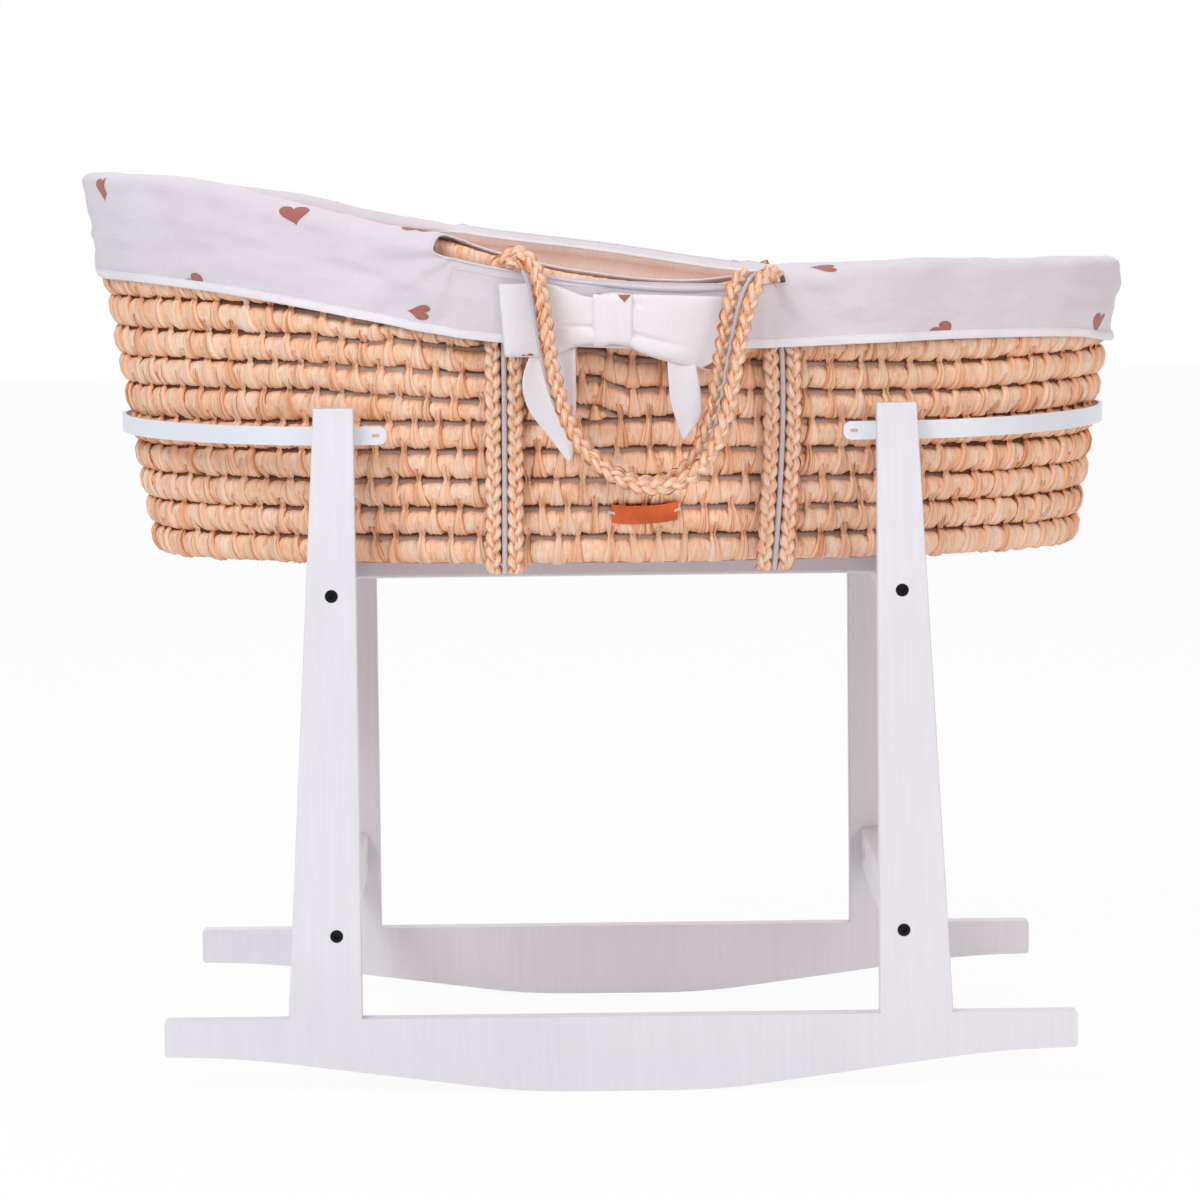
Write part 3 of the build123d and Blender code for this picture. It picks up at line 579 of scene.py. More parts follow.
def even_places(count):
    """Even steps round the wall."""
    return [PERIMETER * i / count for i in range(count)]


def add_round(soup, count, column_at, closed=False, vs=8, tone=0.5):
    """Band round the wall: column_at gives its points at one place."""
    rows = [column_at(s) for s in even_places(count)]
    soup.grid(rows, True, closed, PERIMETER / count, vs, tone)


def rim_lift(x, y):
    """How far the rim stands off the even one."""
    return mix(curve_at(RIM_FRONT, x), curve_at(RIM_REAR, x), ease(y, -150, 150))


def lifted_edges(s):
    """Boundaries of the rows at this place: the top rows take up the rim's lift."""
    x, y = plan(s)
    edges = row_edges(x)
    lift = rim_lift(x, y)
    for n in range(LIFTED_ROWS):
        edges[-1 - n] += lift * (LIFTED_ROWS - n) / LIFTED_ROWS
    return edges


TABLE_PLACES = [n * TABLE_STEP for n in range(int(PERIMETER / TABLE_STEP) + 2)]
EDGES = [lifted_edges(s) for s in TABLE_PLACES]
ENDNESS = [ease(abs(plan(s)[0]), 210, 345) for s in TABLE_PLACES]


def edges_at(k, s):
    """Lower and upper boundary of row k at this place."""
    place = s % PERIMETER / TABLE_STEP
    i = int(place)
    here, following = EDGES[i], EDGES[i + 1]
    share = place - i
    return mix(here[k], following[k], share), mix(here[k + 1], following[k + 1], share)


def coil_point(k, s, turn, lift=0):
    """Point on the surface of row k. turn is 0 outside, and grows over the top."""
    low, high = edges_at(k, s)
    high -= GAP_SPREAD * waver(s, k * 17, 3, 48) * min(1, (high - low) / PITCH)
    low -= GAP_SPREAD * waver(s, k * 17 - 17, 33, 48) * min(1, (high - low) / PITCH)
    gap = mix(ROW_GAP, END_GAP, ENDNESS[int(s % PERIMETER / TABLE_STEP)])
    half = max(0.8, (high - low) / 2 - gap)
    middle = (low + high) / 2
    c, si = cos(turn), sin(turn)
    up = (half + lift) * copysign(abs(si) ** 0.85, si)
    out = (COIL_HALF_DEPTH + lift) * copysign(abs(c) ** 0.85, c)
    swell = 0.7 * waver(s, k * 37, 0, 31)
    px, py = plan(s, middle + up, COIL_DEPTH / 2 - out - swell)
    return px, py, SEAT + middle + up + 0.8 * waver(s, k * 53, 9, 60)


def s_of(x, side=FRONT, height=WALL_LEVEL):
    """Distance round the wall of the point at this X and height, on the front or the rear."""
    low, high = 0, PERIMETER / 2
    for _ in range(40):
        middle = (low + high) / 2
        if plan(middle, height)[0] < x:
            low = middle
        else:
            high = middle
    return low if side == FRONT else PERIMETER - low


STUB_PLACES = {row: float(ceil(s_of(x))) for row, x in STUBS.items()}


def row_span(row):
    """Start and length of a row along the wall: a short row runs round the head between its stubs."""
    if row not in STUBS:
        return 0, PERIMETER, True
    return -STUB_PLACES[row], 2 * STUB_PLACES[row], False


def reaches(k, s, spare=0):
    """Whether row k passes this place, with this much to spare."""
    row = ROWS[k]
    from_head = min(s % PERIMETER, PERIMETER - s % PERIMETER)
    return row not in STUBS or from_head < STUB_PLACES[row] - spare


def hem(x):
    """Height of the cover's lower edge above the seat."""
    return curve_at(HEM, x)


def stitch_places():
    """(upper row, row below it, place) of every stitch: even steps, staggered from gap to gap."""
    places = []
    count = round(PERIMETER / STITCH_STEP)
    for k in range(1, len(ROWS)):
        for n in range(count):
            s = (n + k % 2 / 2 + RNG.uniform(-0.15, 0.15)) * PERIMETER / count
            x, _ = plan(s)
            covered = edges_at(k, s)[0] > hem(x) + COVERED
            if reaches(k, s, 8) and not covered:
                places.append((k, k - 1 if reaches(k - 1, s, -2) else k - 2, s))
    return places


STITCHES = stitch_places()


def dents():
    """How far each row is pulled in by the stitches above and below it: tables by row, at 1 mm steps."""
    around = int(PERIMETER) + 1
    above = [[0] * around for _ in ROWS]
    below = [[0] * around for _ in ROWS]
    for upper, lower, s in STITCHES:
        for away in range(-12, 13):
            place = int(s + away) % around
            pull = exp(-(away / 5) ** 2)
            below[upper][place] = max(below[upper][place], pull)
            above[lower][place] = max(above[lower][place], pull)
    return above, below


def make_rows():
    """The coils: straw wound round with strips of leaf, plump between the stitches."""
    soup = Soup()
    around = 16
    spread_turns = [turn - 0.45 * sin(turn) for turn in turns(around)]
    above, below = dents()
    for k, row in enumerate(ROWS):
        start, length, closed = row_span(row)
        count = round(length / ROW_STEP)
        places = [start + length * i / count for i in range(count + 1)]
        if not closed:
            places += [start + way for way in CUT_STEPS] + [start + length - way for way in CUT_STEPS]
        places.sort()
        strips = [RNG.random() for _ in range(97)]
        rows, tones = [], []
        for s in places[:-1] if closed else places:
            from_end = min(s - start, start + length - s)
            blunt = 0
            if not closed and from_end <= CUT_ROUND:
                blunt = 1 - sqrt(1 - (1 - from_end / CUT_ROUND) ** 2)
            place = int(s) % len(above[k])
            ring, shades = [], []
            for turn in spread_turns:
                wound = (s + 2.4 * sin(turn) + 3 * waver(s, k * 9, 4, 50)) / WRAP_WIDTH
                strip = floor(wound)
                share = wound - strip
                over, under = max(0, sin(turn)), max(0, -sin(turn))
                lift = 0.6 * share - 0.3 + 0.4 * waver(s, turn * 9, k * 7, 14)
                lift -= DENT * (above[k][place] * over + below[k][place] * under)
                ring.append(coil_point(k, s, turn, lift - CUT_ROUND * 0.8 * blunt))
                # painted shade: darker over each coil's top and more under it, where the rows meet
                painted_recess_shade = 0.36 * under ** 3 + 0.24 * over ** 4
                # painted shadow beside each wound strip's raised edge; the strips' own tone varies at random
                shades.append(0.54 + 0.30 * strips[strip % 97] - painted_recess_shade - (0.20 if share < 0.24 else 0))
            rows.append(ring)
            tones.append(shades)
        us = [s - start for s in places + places[-1:]]
        soup.grid(rows, closed, True, us, 4, lambda i, j: tones[i][j], k * 0.37)
        if not closed:
            soup.close(rows, 0.35)
    soup.make("wall_coils", STRAW_COIL, "straw", "coiled_wall")


# along a stitch: (-1 at its upper end, 0 at its neck, 1 at its lower end; width as a share of the spread)
STITCH_STATIONS = (
    (-1, 0.80), (-0.75, 0.76), (-0.48, 0.60), (-0.28, 0.44), (-0.12, 0),
    (0, 0), (0.12, 0), (0.24, 0.38), (0.40, 0.56), (0.58, 0.76), (0.76, 0.90), (0.90, 1),
    (1, 0.98),
)
NECK = 0.12


def add_stitch(soup, upper, lower, s):
    """Pleated leaf: gathered on the upper row, drawn together in the gap, fanned out over the lower."""
    across = 9
    spread = {-1: RNG.uniform(4.6, 7), 1: RNG.uniform(6.4, 9.6)}
    lean = {-1: RNG.uniform(-3, 3), 1: RNG.uniform(-3.5, 3.5)}
    reach = {-1: RNG.uniform(-0.12, 0.16) * pi, 1: RNG.uniform(0.40, 0.52) * pi}
    loft = {-1: RNG.uniform(0.2, 0.5), 1: RNG.uniform(1.6, 2.6)}
    neck = RNG.uniform(1.9, 2.8)
    tone = {-1: RNG.uniform(0.42, 0.62), 1: RNG.uniform(0.36, 0.70)}
    deep = RNG.uniform(0.4, 0.95)
    pleats = [deep * RNG.uniform(0.3, 1) * (-1) ** j for j in range(across)]
    lines = [RNG.uniform(-0.42, 0.20) for _ in range(across)]
    columns = []
    for j in range(across):
        share = 2 * j / (across - 1) - 1
        crown = sqrt(1 - share ** 4)
        column = []
        for fall, width in STITCH_STATIONS:
            end = -1 if fall < 0 else 1
            open_share = max(0, (abs(fall) - NECK) / (1 - NECK))
            half = max(neck * (1 + 0.4 * (abs(fall) > 0.05)), spread[end] * width)
            place = s + share * half + lean[end] * open_share
            turn = end * mix(0.35 * pi, -reach[end], open_share)
            lift = loft[end] * crown * (1 - open_share ** 8) - 0.5 * (1 - crown)
            lift += pleats[j] * crown * min(1, 2.5 * open_share) - 0.5 * open_share ** 8
            lift += 0.9 * crown * exp(-(fall / 0.15) ** 2)
            if abs(fall) < 0.05:
                over = coil_point(upper, place, -0.35 * pi, lift)
                under = coil_point(lower, place, 0.35 * pi, lift)
                column.append(tuple((a + b) / 2 for a, b in zip(over, under)))
            else:
                column.append(coil_point(upper if end < 0 else lower, place, turn, lift))
        columns.append(column)

    def shade(i, j):
        end = -1 if STITCH_STATIONS[j][0] < 0 else 1
        fall = abs(STITCH_STATIONS[j][0])
        # painted shade: the lower fan darker along its side edges, every stitch at its neck and at its tips
        edge = (0.42 if end > 0 else 0) * (i in (0, across - 1))
        return tone[end] + 0.10 + lines[i] - edge - 0.2 * (fall < 0.2) - 0.2 * (fall > 0.85)

    soup.grid(columns, False, False, 1.3, 3, shade, u0=RNG.random())


def make_stitches():
    """All the stitches that sew each row to the one below."""
    soup = Soup()
    for upper, lower, s in STITCHES:
        add_stitch(soup, upper, lower, s)
    soup.make("wall_stitches", STRAW_STITCH, "straw")


def make_core():
    """What shows between the rows: backing in their shade, deepest under each row and towards the ends."""
    soup = Soup()
    rows, tones = [], []
    for s in even_places(CORE_COLUMNS):
        close = ENDNESS[int(s / TABLE_STEP)]
        heights, shades = [4], [0.5]
        for k in range(1, len(ROWS)):
            boundary = edges_at(k, s)[0]
            for away, tone in ((-5, 0.75), (-0.5, 0.55), (2.5, 0.15)):
                heights.append(max(boundary + away, heights[-1] + 0.01))
                shades.append(tone - 0.3 * close)
        rows.append([(*plan(s, height, CORE_INSET), SEAT + height) for height in heights])
        tones.append(shades)
    soup.grid(rows, True, False, PERIMETER / CORE_COLUMNS, 8, lambda i, j: tones[i][j])
    soup.make("wall_core", STRAW_CORE, "straw")


# ---- cover and liner
def cover_top(x, y):
    """Height at which the cover starts to turn in over the rim."""
    return rim(x) + rim_lift(x, y) - TURN_HEIGHT


def skirt_inset(x):
    """The skirt stands out over the straps, and lies nearly on the wall elsewhere."""
    room = ease(x, *BRAID_ROOM_START) * (1 - ease(x, *BRAID_ROOM_END))
    return -SKIRT_GAP - room * (2 * BRAID_RADIUS + BRAID_GAP)


def in_slot(x):
    return SLOT_X[0] < x < SLOT_X[1]


def outer_top(x, y):
    """Height at which the skirt ends outside: over the front slot it stands up past the coil."""
    top = cover_top(x, y)
    if not in_slot(x) or y > 0:
        return top
    return max(top, curve_at(SLOT_FLOOR, x))


def opened(x, rounding):
    """How far the slot has opened at x: 0 at its ends, 1 past their rounding."""
    near_end = min(x - SLOT_X[0], SLOT_X[1] - x)
    return sqrt(1 - max(0, 1 - max(0, near_end) / rounding) ** 2)


def slot_floor(x, y):
    """Where the skirt ends: at the slot's outer edge, which meets its inner edge where the turn starts."""
    low, top = hem(x), outer_top(x, y)
    floor_place = SKIRT_STEPS * min(1, (curve_at(SLOT_FLOOR, x) - low) / (top - low))
    return mix(SKIRT_STEPS, floor_place, opened(x, SLOT_ROUND[0]))


def slot_inner(x, y):
    """Where the cloth goes on inside the slot."""
    return mix(SKIRT_STEPS, SLOT_INNER[FRONT if y < 0 else REAR], opened(x, SLOT_ROUND[1]))


def wrinkle(s, height, x):
    """Soft folds of the cover, outwards."""
    soft = 2.8 * waver(s, height * 2.4, 3, 80) + 2 * waver(s, height * 2.2, 8, 34)
    fine = 0.7 * waver(s, height * 2.6, 5, 13)
    pulled = 0
    for end, way in zip(SLOT_X, (-1, 1)):
        along, up = way * (x - end), height - SLOT_END_LEVEL
        if along > -20:
            away = hypot(along + 20, up)
            fold = sin(11 * atan2(up, along + 20) + 2 * waver(s, height, 14, 60))
            pulled += 1.8 * fold * exp(-((away - 60) / 65) ** 2)
    tight = 0.9 * cos(2 * pi * (height - 6) / PITCH) * ease(abs(x), 300, 400)
    crease = 0.9 * exp(-((height - rim(x) + 30 + 9 * waver(s, 0, 0, 120)) / 5) ** 2)
    start, finish = SLOT_X
    over_slot = ease(x, start - 5, start + 25) * (1 - ease(x, finish - 25, finish + 5))
    fold = (soft + fine) * (1 - 0.8 * over_slot) + pulled + tight + crease * ease(-x, -40, 120)
    return max(DEEPEST_FOLD, fold + 0.4) if fold < 0 else fold + 0.4


def cover_at(s, place, lift=0):
    """Point of the cover. place is 0 at the hem, SKIRT_STEPS where it turns in over the rim, and the sum of
    both steps where the turn ends inside."""
    x, y = plan(s)
    low, top, outer = hem(x), cover_top(x, y), skirt_inset(x)
    if place <= SKIRT_STEPS:
        inset, height = outer, mix(low, outer_top(x, y), place / SKIRT_STEPS)
        outward, upward = 1, 0
    else:
        turn = pi * (place - SKIRT_STEPS) / TURN_STEPS
        middle, half = (LINER_INSET + outer) / 2, (LINER_INSET - outer) / 2
        inset = middle - half * cos(turn)
        height = top + (TURN_HEIGHT + 3.2) * sin(turn) ** 0.9
        outward, upward = cos(turn), sin(turn)
    fold = wrinkle(s, height, x)
    px, py = plan(s, height, inset - outward * (fold + lift))
    return px, py, SEAT + height + upward * (0.6 * fold + lift)


def welt_rise(x):
    return WELT_RISE * ease(x, *WELT_X)


def turn_end(x):
    """Where the turn ends, at the seam with the liner."""
    return SKIRT_STEPS + TURN_STEPS * (1 - 0.14 * ease(x, *WELT_X))


def cover_places():
    """Places round the wall for the cover's columns: close together at the slots' ends."""
    places = even_places(500)
    for side in (FRONT, REAR):
        for end in SLOT_X:
            middle = s_of(end, side)
            places += [middle + 0.8 * n for n in range(-17, 18)]
    return sorted(places) + [PERIMETER]


def make_cover():
    """The skirt outside, up to the slots, and the turn inside: one cloth with a slot at each handle."""
    places = cover_places()
    outside, inside = [], []
    for s in places[:-1]:
        x, y = plan(s)
        last, first, end = slot_floor(x, y), slot_inner(x, y), turn_end(x)
        outside.append([cover_at(s, last * j / 30) for j in range(31)])
        inside.append([cover_at(s, mix(first, end, j / TURN_STEPS)) for j in range(TURN_STEPS + 1)])
    soup = Soup()
    soup.grid(outside, True, False, places, 3.2)
    soup.grid(inside, True, False, places, 3.2)
    piece = soup.make("cover_skirt_cloth", COVER, "cover_cotton", "cover_skirt")
    weld(piece, 0.05)
    thicken(piece, 1, -1)


def thicken(piece, thickness, offset=0):
    """Gives a cloth its thickness, in millimetres."""
    modifier = piece.modifiers.new("thickness", "SOLIDIFY")
    modifier.thickness = thickness * MM
    modifier.offset = offset


def make_hem_band():
    """Folded edge of the skirt, with the dent of its stitching."""
    soup = Soup()
    places = cover_places()
    profile = (
        (-0.2, -1), (0.9, -1.1), (1.35, 0), (1.2, 0.40), (1.1, 0.66), (0.55, 0.78), (1.05, 0.88),
        (-0.2, 1.02),
    )
    rows = []
    for s in places[:-1]:
        x, _ = plan(s)
        ring = []
        for lift, share in profile:
            height = hem(x) + max(share, 0) * HEM_BAND + min(share, 0)
            px, py = plan(s, height, skirt_inset(x) - wrinkle(s, height, x) - lift)
            ring.append((px, py, SEAT + height))
        rows.append(ring)
    soup.grid(rows, True, True, places, 2)
    soup.make("cover_hem", BOW, "cover_cotton")


def edge_rows(line, profile):
    """Rings of a narrow band along a line of (place round the wall, place up the cover)."""
    rows = []
    for i, (s, place) in enumerate(line):
        before, after = line[i - 1], line[(i + 1) % len(line)]
        ds, dp = after[0] - before[0], (after[1] - before[1]) * SKIRT_STEP
        size = hypot(ds, dp) or 1
        rows.append([
            cover_at(s - dp / size * away, place + ds / size * away / SKIRT_STEP, lift)
            for lift, away in profile
        ])
    return rows


def make_slot_bindings():
    """Bound edge of each slot, and the dent of the stitches that hold its facing."""
    soup = Soup()
    for side in (FRONT, REAR):
        first, last = (s_of(x, side) for x in SLOT_X)
        outer, inner = [], []
        for n in range(151):
            s = mix(first, last, 0.5 - 0.5 * cos(pi * n / 150))
            x, y = plan(s)
            outer.append((s, slot_floor(x, y)))
            inner.append((s, slot_inner(x, y)))
        line = outer + inner[-2:0:-1]
        if side == REAR:
            line.reverse()
        profile = ((-0.6, -1.5), (0.6, -1.4), (1.1, 0), (0.7, 1.1), (-0.8, 1.2))
        soup.grid(edge_rows(line, profile), True, True, 2.5, 2)
        facing = [(s, max(0.5, place - 2.4)) for s, place in outer[::-side]][22:-22]
        seam = ((-0.5, -1.4), (0.30, -0.9), (0, 0), (0.30, 0.9), (-0.5, 1.4))
        soup.grid(edge_rows(facing, seam)[1:-1], False, True, 2.5, 2)
    soup.make("cover_slot_bindings", COVER, "cover_cotton")


def make_inner_seam():
    """Welt where the cover's turn is sewn to the bag inside."""
    def ring(s):
        x, y = plan(s)
        height = cover_top(x, y) + welt_rise(x)
        return [
            (*plan(s, height, LINER_INSET - 0.7 + 1.9 * cos(turn)), SEAT + height + 1.5 * sin(turn))
            for turn in turns(8)
        ]

    soup = Soup()
    add_round(soup, 420, ring, True, 1.2)
    soup.make("cover_inner_seam", BOW, "cover_cotton")


def make_liner():
    """Bag inside the wall: hangs from the rim to the bottom, and closes under the mattress."""
    def column_at(s):
        x, y = plan(s)
        top = cover_top(x, y) + welt_rise(x)
        column = []
        for j in range(29):
            share = j / 28
            height = mix(top, BASE_THICKNESS + 1.6, share)
            fold = 1.8 * waver(s, height * 0.6, 20, 60) + waver(s, height * 0.4, 30, 20)
            fold += 0.8 * (1 - share) * sin(s / 5.5 + 3 * waver(s, 0, 2, 90))
            inset = LINER_INSET - 0.6 + (2 + fold) * min(1, 6 * share)
            column.append((*plan(s, height, inset), SEAT + height))
        px, py = plan(s, BASE_THICKNESS, LINER_INSET + 3)
        for j in range(1, 9):
            shrink = 1 - j / 8
            column.append((px * shrink, py * shrink, SEAT + BASE_THICKNESS + 1.6))
        return column

    shades = [0.60, 0.30, 0.55]  # from the seam down: shade under it, then plain cloth
    soup = Soup()
    add_round(soup, 300, column_at, tone=lambda i, j: shades[min(j, 2)])
    piece = soup.make("liner_cloth", LINER, "cover_cotton", "liner")
    thicken(piece, 0.8)


# ---- hearts
def heart_rings(size, steps, around, point_at, cut=1):
    """Rings of a printed heart, from its middle out: point_at lays a flat point on the cloth."""
    rings = []
    for r in range(steps + 1):
        ring = []
        for turn in turns(around):
            x = 16 * sin(turn) ** 3 / 17
            y = (13 * cos(turn) - 5 * cos(2 * turn) - 2 * cos(3 * turn) - cos(4 * turn)) / 17
            ring.append(point_at(min(x, cut) * size * r / steps, y * size * r / steps))
        rings.append(ring)
    return rings


HEART_SIZE = 12.5
PRINT_LIFT = 0.3  # of a heart off its cloth
SCATTERED = (
    # (X, height above the floor, tilt, squashed in height by, cut off right of this share of its half width)
    (-414, 742, 0.10, 0.95, 0.4), (-251, 722, 0.12, 0.82, 1), (-154, 718, 3.19, 0.82, 1),
    (-335, 664, 0.6, 0.75, 1), (-146, 641.5, -1.75, 0.54, 1), (173, 675, -1.57, 0.42, 1),
    (272, 620.5, 0.75, 0.6, 1), (411, 620, -0.15, 0.82, 1),
)


def add_heart(soup, s, middle, tilt, squash=0.82, cut=1):
    """Heart laid on the cover, a little proud of it, and cut off where the cloth ends."""
    def point_at(hx, hy):
        here = s + hx * cos(tilt) - hy * sin(tilt)
        height = middle + squash * (hx * sin(tilt) + hy * cos(tilt))
        x, y = plan(here)
        low, top = hem(x), cover_top(x, y)
        place = SKIRT_STEPS * (height - low) / (top - low)
        if place > SKIRT_STEPS:
            place = SKIRT_STEPS + (height - top) / TURN_STEP
        bottom = SKIRT_STEPS * HEM_BAND / (top - low)
        end = slot_floor(x, y) if in_slot(x) else SKIRT_STEPS + TURN_STEPS
        return cover_at(here, min(max(place, bottom), end), PRINT_LIFT)

    soup.grid(heart_rings(HEART_SIZE, 6, 36, point_at, cut), False, True)


def make_hearts():
    """Small printed hearts, scattered."""
    soup = Soup()
    for x, z, tilt, squash, cut in SCATTERED:
        add_heart(soup, s_of(x, FRONT, z - SEAT), z - SEAT, tilt, squash, cut)
    for n in range(9):
        x = -380 + 92 * n
        low, top = hem(x), cover_top(x, HALF_WIDTH)
        share = 0.3 + 0.5 * (n * 0.618 % 1)
        if not SLOT_X[0] - 15 < x < SLOT_X[1] + 15:
            add_heart(soup, s_of(x, REAR), mix(low, top, share), n * 2.4 % 1.6 - 0.8)
    soup.make("printed_hearts", HEART, "cover_cotton")


# ---- plaits and cords
def even_line(points, step, order=4):
    """Even steps along a smooth NURBS curve through the route's control points, in millimetres."""
    curve = bpy.data.curves.new("route", "CURVE")
    curve.dimensions = "3D"
    curve.resolution_u = 24
    spline = curve.splines.new("NURBS")
    spline.points.add(len(points) - 1)
    for target, point in zip(spline.points, points):
        target.co = (*point, 1)
    spline.order_u = min(order, len(points))
    spline.use_endpoint_u = True
    holder = bpy.data.objects.new("route", curve)
    mesh = bpy.data.meshes.new_from_object(holder)
    line = [v.co.copy() for v in mesh.vertices]
    bpy.data.objects.remove(holder)
    bpy.data.curves.remove(curve)
    bpy.data.meshes.remove(mesh)
    lengths = [0]
    for p, q in zip(line, line[1:]):
        lengths.append(lengths[-1] + (q - p).length)
    count = max(2, round(lengths[-1] / step))
    return looked_up([lengths[-1] * n / count for n in range(count + 1)], lengths, line, Vector.lerp)


def frames(line, face):
    """(point, across, out) along a line: across lies in the plait's flat face, which looks this way."""
    face = Vector(face).normalized()
    result = []
    for i, point in enumerate(line):
        tangent = (line[min(i + 1, len(line) - 1)] - line[max(i - 1, 0)]).normalized()
        across = tangent.cross(face).normalized()
        result.append((point, across, across.cross(tangent).normalized()))
    return result


def add_tube(soup, centres, radii, tone=0.5, squash=1, around=8, step=2, u0=0, crumple=0):
    """Tube through centres, each (point, across, out), with its ends closed and creases along it. radii is
    one radius or a list."""
    radii = radii if isinstance(radii, list) else [radii] * len(centres)
    rows = []
    for i, ((point, across, out), radius) in enumerate(zip(centres, radii)):
        ring = []
        for j, turn in enumerate(turns(around)):
            crease = 1.3 * waver(j * 7.3, i * step * 0.8, u0 * 50, 6) + 0.6 * (-1) ** j
            reach = radius * (1 + crumple * crease)
            ring.append(tuple(point + across * (reach * cos(turn)) + out * (reach * squash * sin(turn))))
        rows.append(ring)
    soup.grid(rows, False, True, step, 2 * pi * radii[0] / around, tone, u0)
    soup.close(rows)


def add_plait(soup, line, face, seed):
    """Three strands plaited flat: they cross from side to side and over each other."""
    strand_radius = BRAID_RADIUS * 0.50
    swing = BRAID_RADIUS - strand_radius * 0.95
    lift = strand_radius * 0.62
    placed = frames(line, face)
    step = (line[1] - line[0]).length
    for strand in range(3):
        centres, radii, painted_over_under_shade = [], [], []
        for i, (point, across, out) in enumerate(placed):
            along = i * step
            phase = 2 * pi * (along / PLAIT_LENGTH + strand / 3) + seed
            phase += 0.35 * waver(along, seed * 10, strand * 5, 40)
            slack = 1 + 0.10 * waver(along, seed * 3 + strand * 11, 0, 17)
            bulge = 0.88 + 0.22 * sin(phase) ** 2
            lump = 1 + 0.10 * waver(along, strand * 9, seed, 4)
            centre = point + across * (swing * sin(phase)) + out * (lift * sin(2 * phase))
            centres.append((centre, across, out))
            radii.append(strand_radius * slack * bulge * lump)
            painted_over_under_shade.append(sin(2 * phase))
        base = RNG.uniform(0.54, 0.76)

        def shade(i, j):
            turn = 2 * pi * j / PLAIT_AROUND
            # random mottle, and painted shade in every other crease, where add_tube dents the strand
            mottle_and_groove_shade = 0.45 * waver(i * step, j * 5, seed + strand * 7, 4) + 0.10 * (-1) ** j
            # painted shade on the strand's sides and back
            painted_side_shade = 0.55 * abs(cos(turn)) ** 3 + 0.3 * (sin(turn) < -0.1)
            # painted light where the strand lies on top of a crossing, painted shade where it passes under
            return base + mottle_and_groove_shade + 0.16 * painted_over_under_shade[i] - painted_side_shade

        add_tube(soup, centres, radii, shade, 0.92, PLAIT_AROUND, step, seed + strand * 0.13, 0.2)


def strap_line(route, side, offset):
    """Centre line of one plait of a strap on the wall."""
    points = []
    for x, z in route:
        away = abs(wall_y(x + offset, z - SEAT)) + BRAID_RADIUS + BRAID_GAP
        points.append((x + offset, side * away, z))
    return points


def make_straps():
    """Straps that run down the wall: two plaits, with a cord between them."""
    for side_name, side in SIDES:
        for end_name, route in (("head", STRAP_HEAD), ("foot", STRAP_FOOT)):
            plaits, cords = Soup(), Soup()
            face = (0, side, -0.19)
            for offset in (-BRAID_SPACING / 2, BRAID_SPACING / 2):
                line = even_line(strap_line(route, side, offset), 1.6, 3)
                add_plait(plaits, line, face, offset + side + route[0][0])
            line = even_line(strap_line(route, side, 0), 2, 3)
            add_tube(cords, [(p + o * 1.2, a, o) for p, a, o in frames(line, face)], CORD_RADIUS)
            end = f"{side_name}_{end_name}"
            plaits.make(f"strap_plaits_{end}", STRAW_PLAIT, "straw", f"strap_{end}")
            cords.make(f"strap_twine_{end}", CORD, "grey_cord", f"strap_cord_{end}")


def on_side(route, side):
    """A handle's route on the front, or on the rear, where it leaves the slot lower."""
    if side == FRONT:
        return [(x, -y, z) for x, y, z in route]
    result = []
    for x, y, z in route:
        low = mix(*REAR_CREST, ease(x, 0, 60))
        if z > low:
            z = low + REAR_ROOM * (1 - exp((low - z) / REAR_ROOM))
        result.append((x, y, z))
    return result


def make_handles():
    """Handles that hang from the slots: two plaits and a cord."""
    for side_name, side in SIDES:
        body = f"handle_{side_name}"
        plaits, cords = Soup(), Soup()
        for n, route in enumerate((OUTER_BRAID, INNER_BRAID)):
            line = even_line(on_side(route, side), 1.6)
            add_plait(plaits, line, (0.55, side * 0.83, 0.05), 1.7 * n + side)
        line = even_line(on_side(HANDLE_CORD, side), 2)
        add_tube(cords, frames(line, (0.1, side, 0.05)), CORD_RADIUS)
        start, end = (0.03, side * 0.2495, 0.684), (0.03, side * 0.2610, 0.684)
        for soup, name, material, slot, node in (
            (plaits, f"handle_plaits_{side_name}", STRAW_PLAIT, "straw", f"handle_{side_name}"),
            (cords, f"handle_twine_{side_name}", CORD, "grey_cord", f"handle_cord_{side_name}"),
        ):
            piece = soup.make(name, material, slot, node, body=body, ride=False)
            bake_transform(piece)
            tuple(start)
            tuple(end)


# ---- bow
BOW_OUT = SKIRT_GAP + 2 * BRAID_RADIUS + BRAID_GAP + 4  # back of the bow, from the wall
KNOT_X = 5.2
KNOT_HALF_WIDTH = 16
KNOT_Z = (614, 656.5)  # its bottom and top, above the floor
KNOT_BLUNT = 0.3  # power that squares the wrap's section
KNOT_HEART = (14.6, 654.5)  # (X, Z) of the heart's middle


def in_front(x, z, out):
    """Point this far out from the wall's front, above the seat's height z."""
    return x, wall_y(x, z - SEAT) - out, z


def head_wing(share, up):
    """(X, Z, fold) of the bow's loop towards the head: share runs out from the knot."""
    x = mix(-8, mix(-82.5, -87, up), share)
    low = mix(614.5, 604.8, ease(share, 0.1, 0.6))
    high = mix(653, 665, ease(share, 0, 0.55))
    crease = exp(-((up - 0.37) / 0.05) ** 2) * (1 - ease(share, 0.25, 0.6))
    roll = 1.6 * exp(-((up - 0.16) / 0.16) ** 2) * (1 - ease(share, 0.3, 0.9))
    return x, mix(low, high, up), roll - 2.8 * crease + 0.8 * sin(5 * up + 1) * exp(-share * 4)


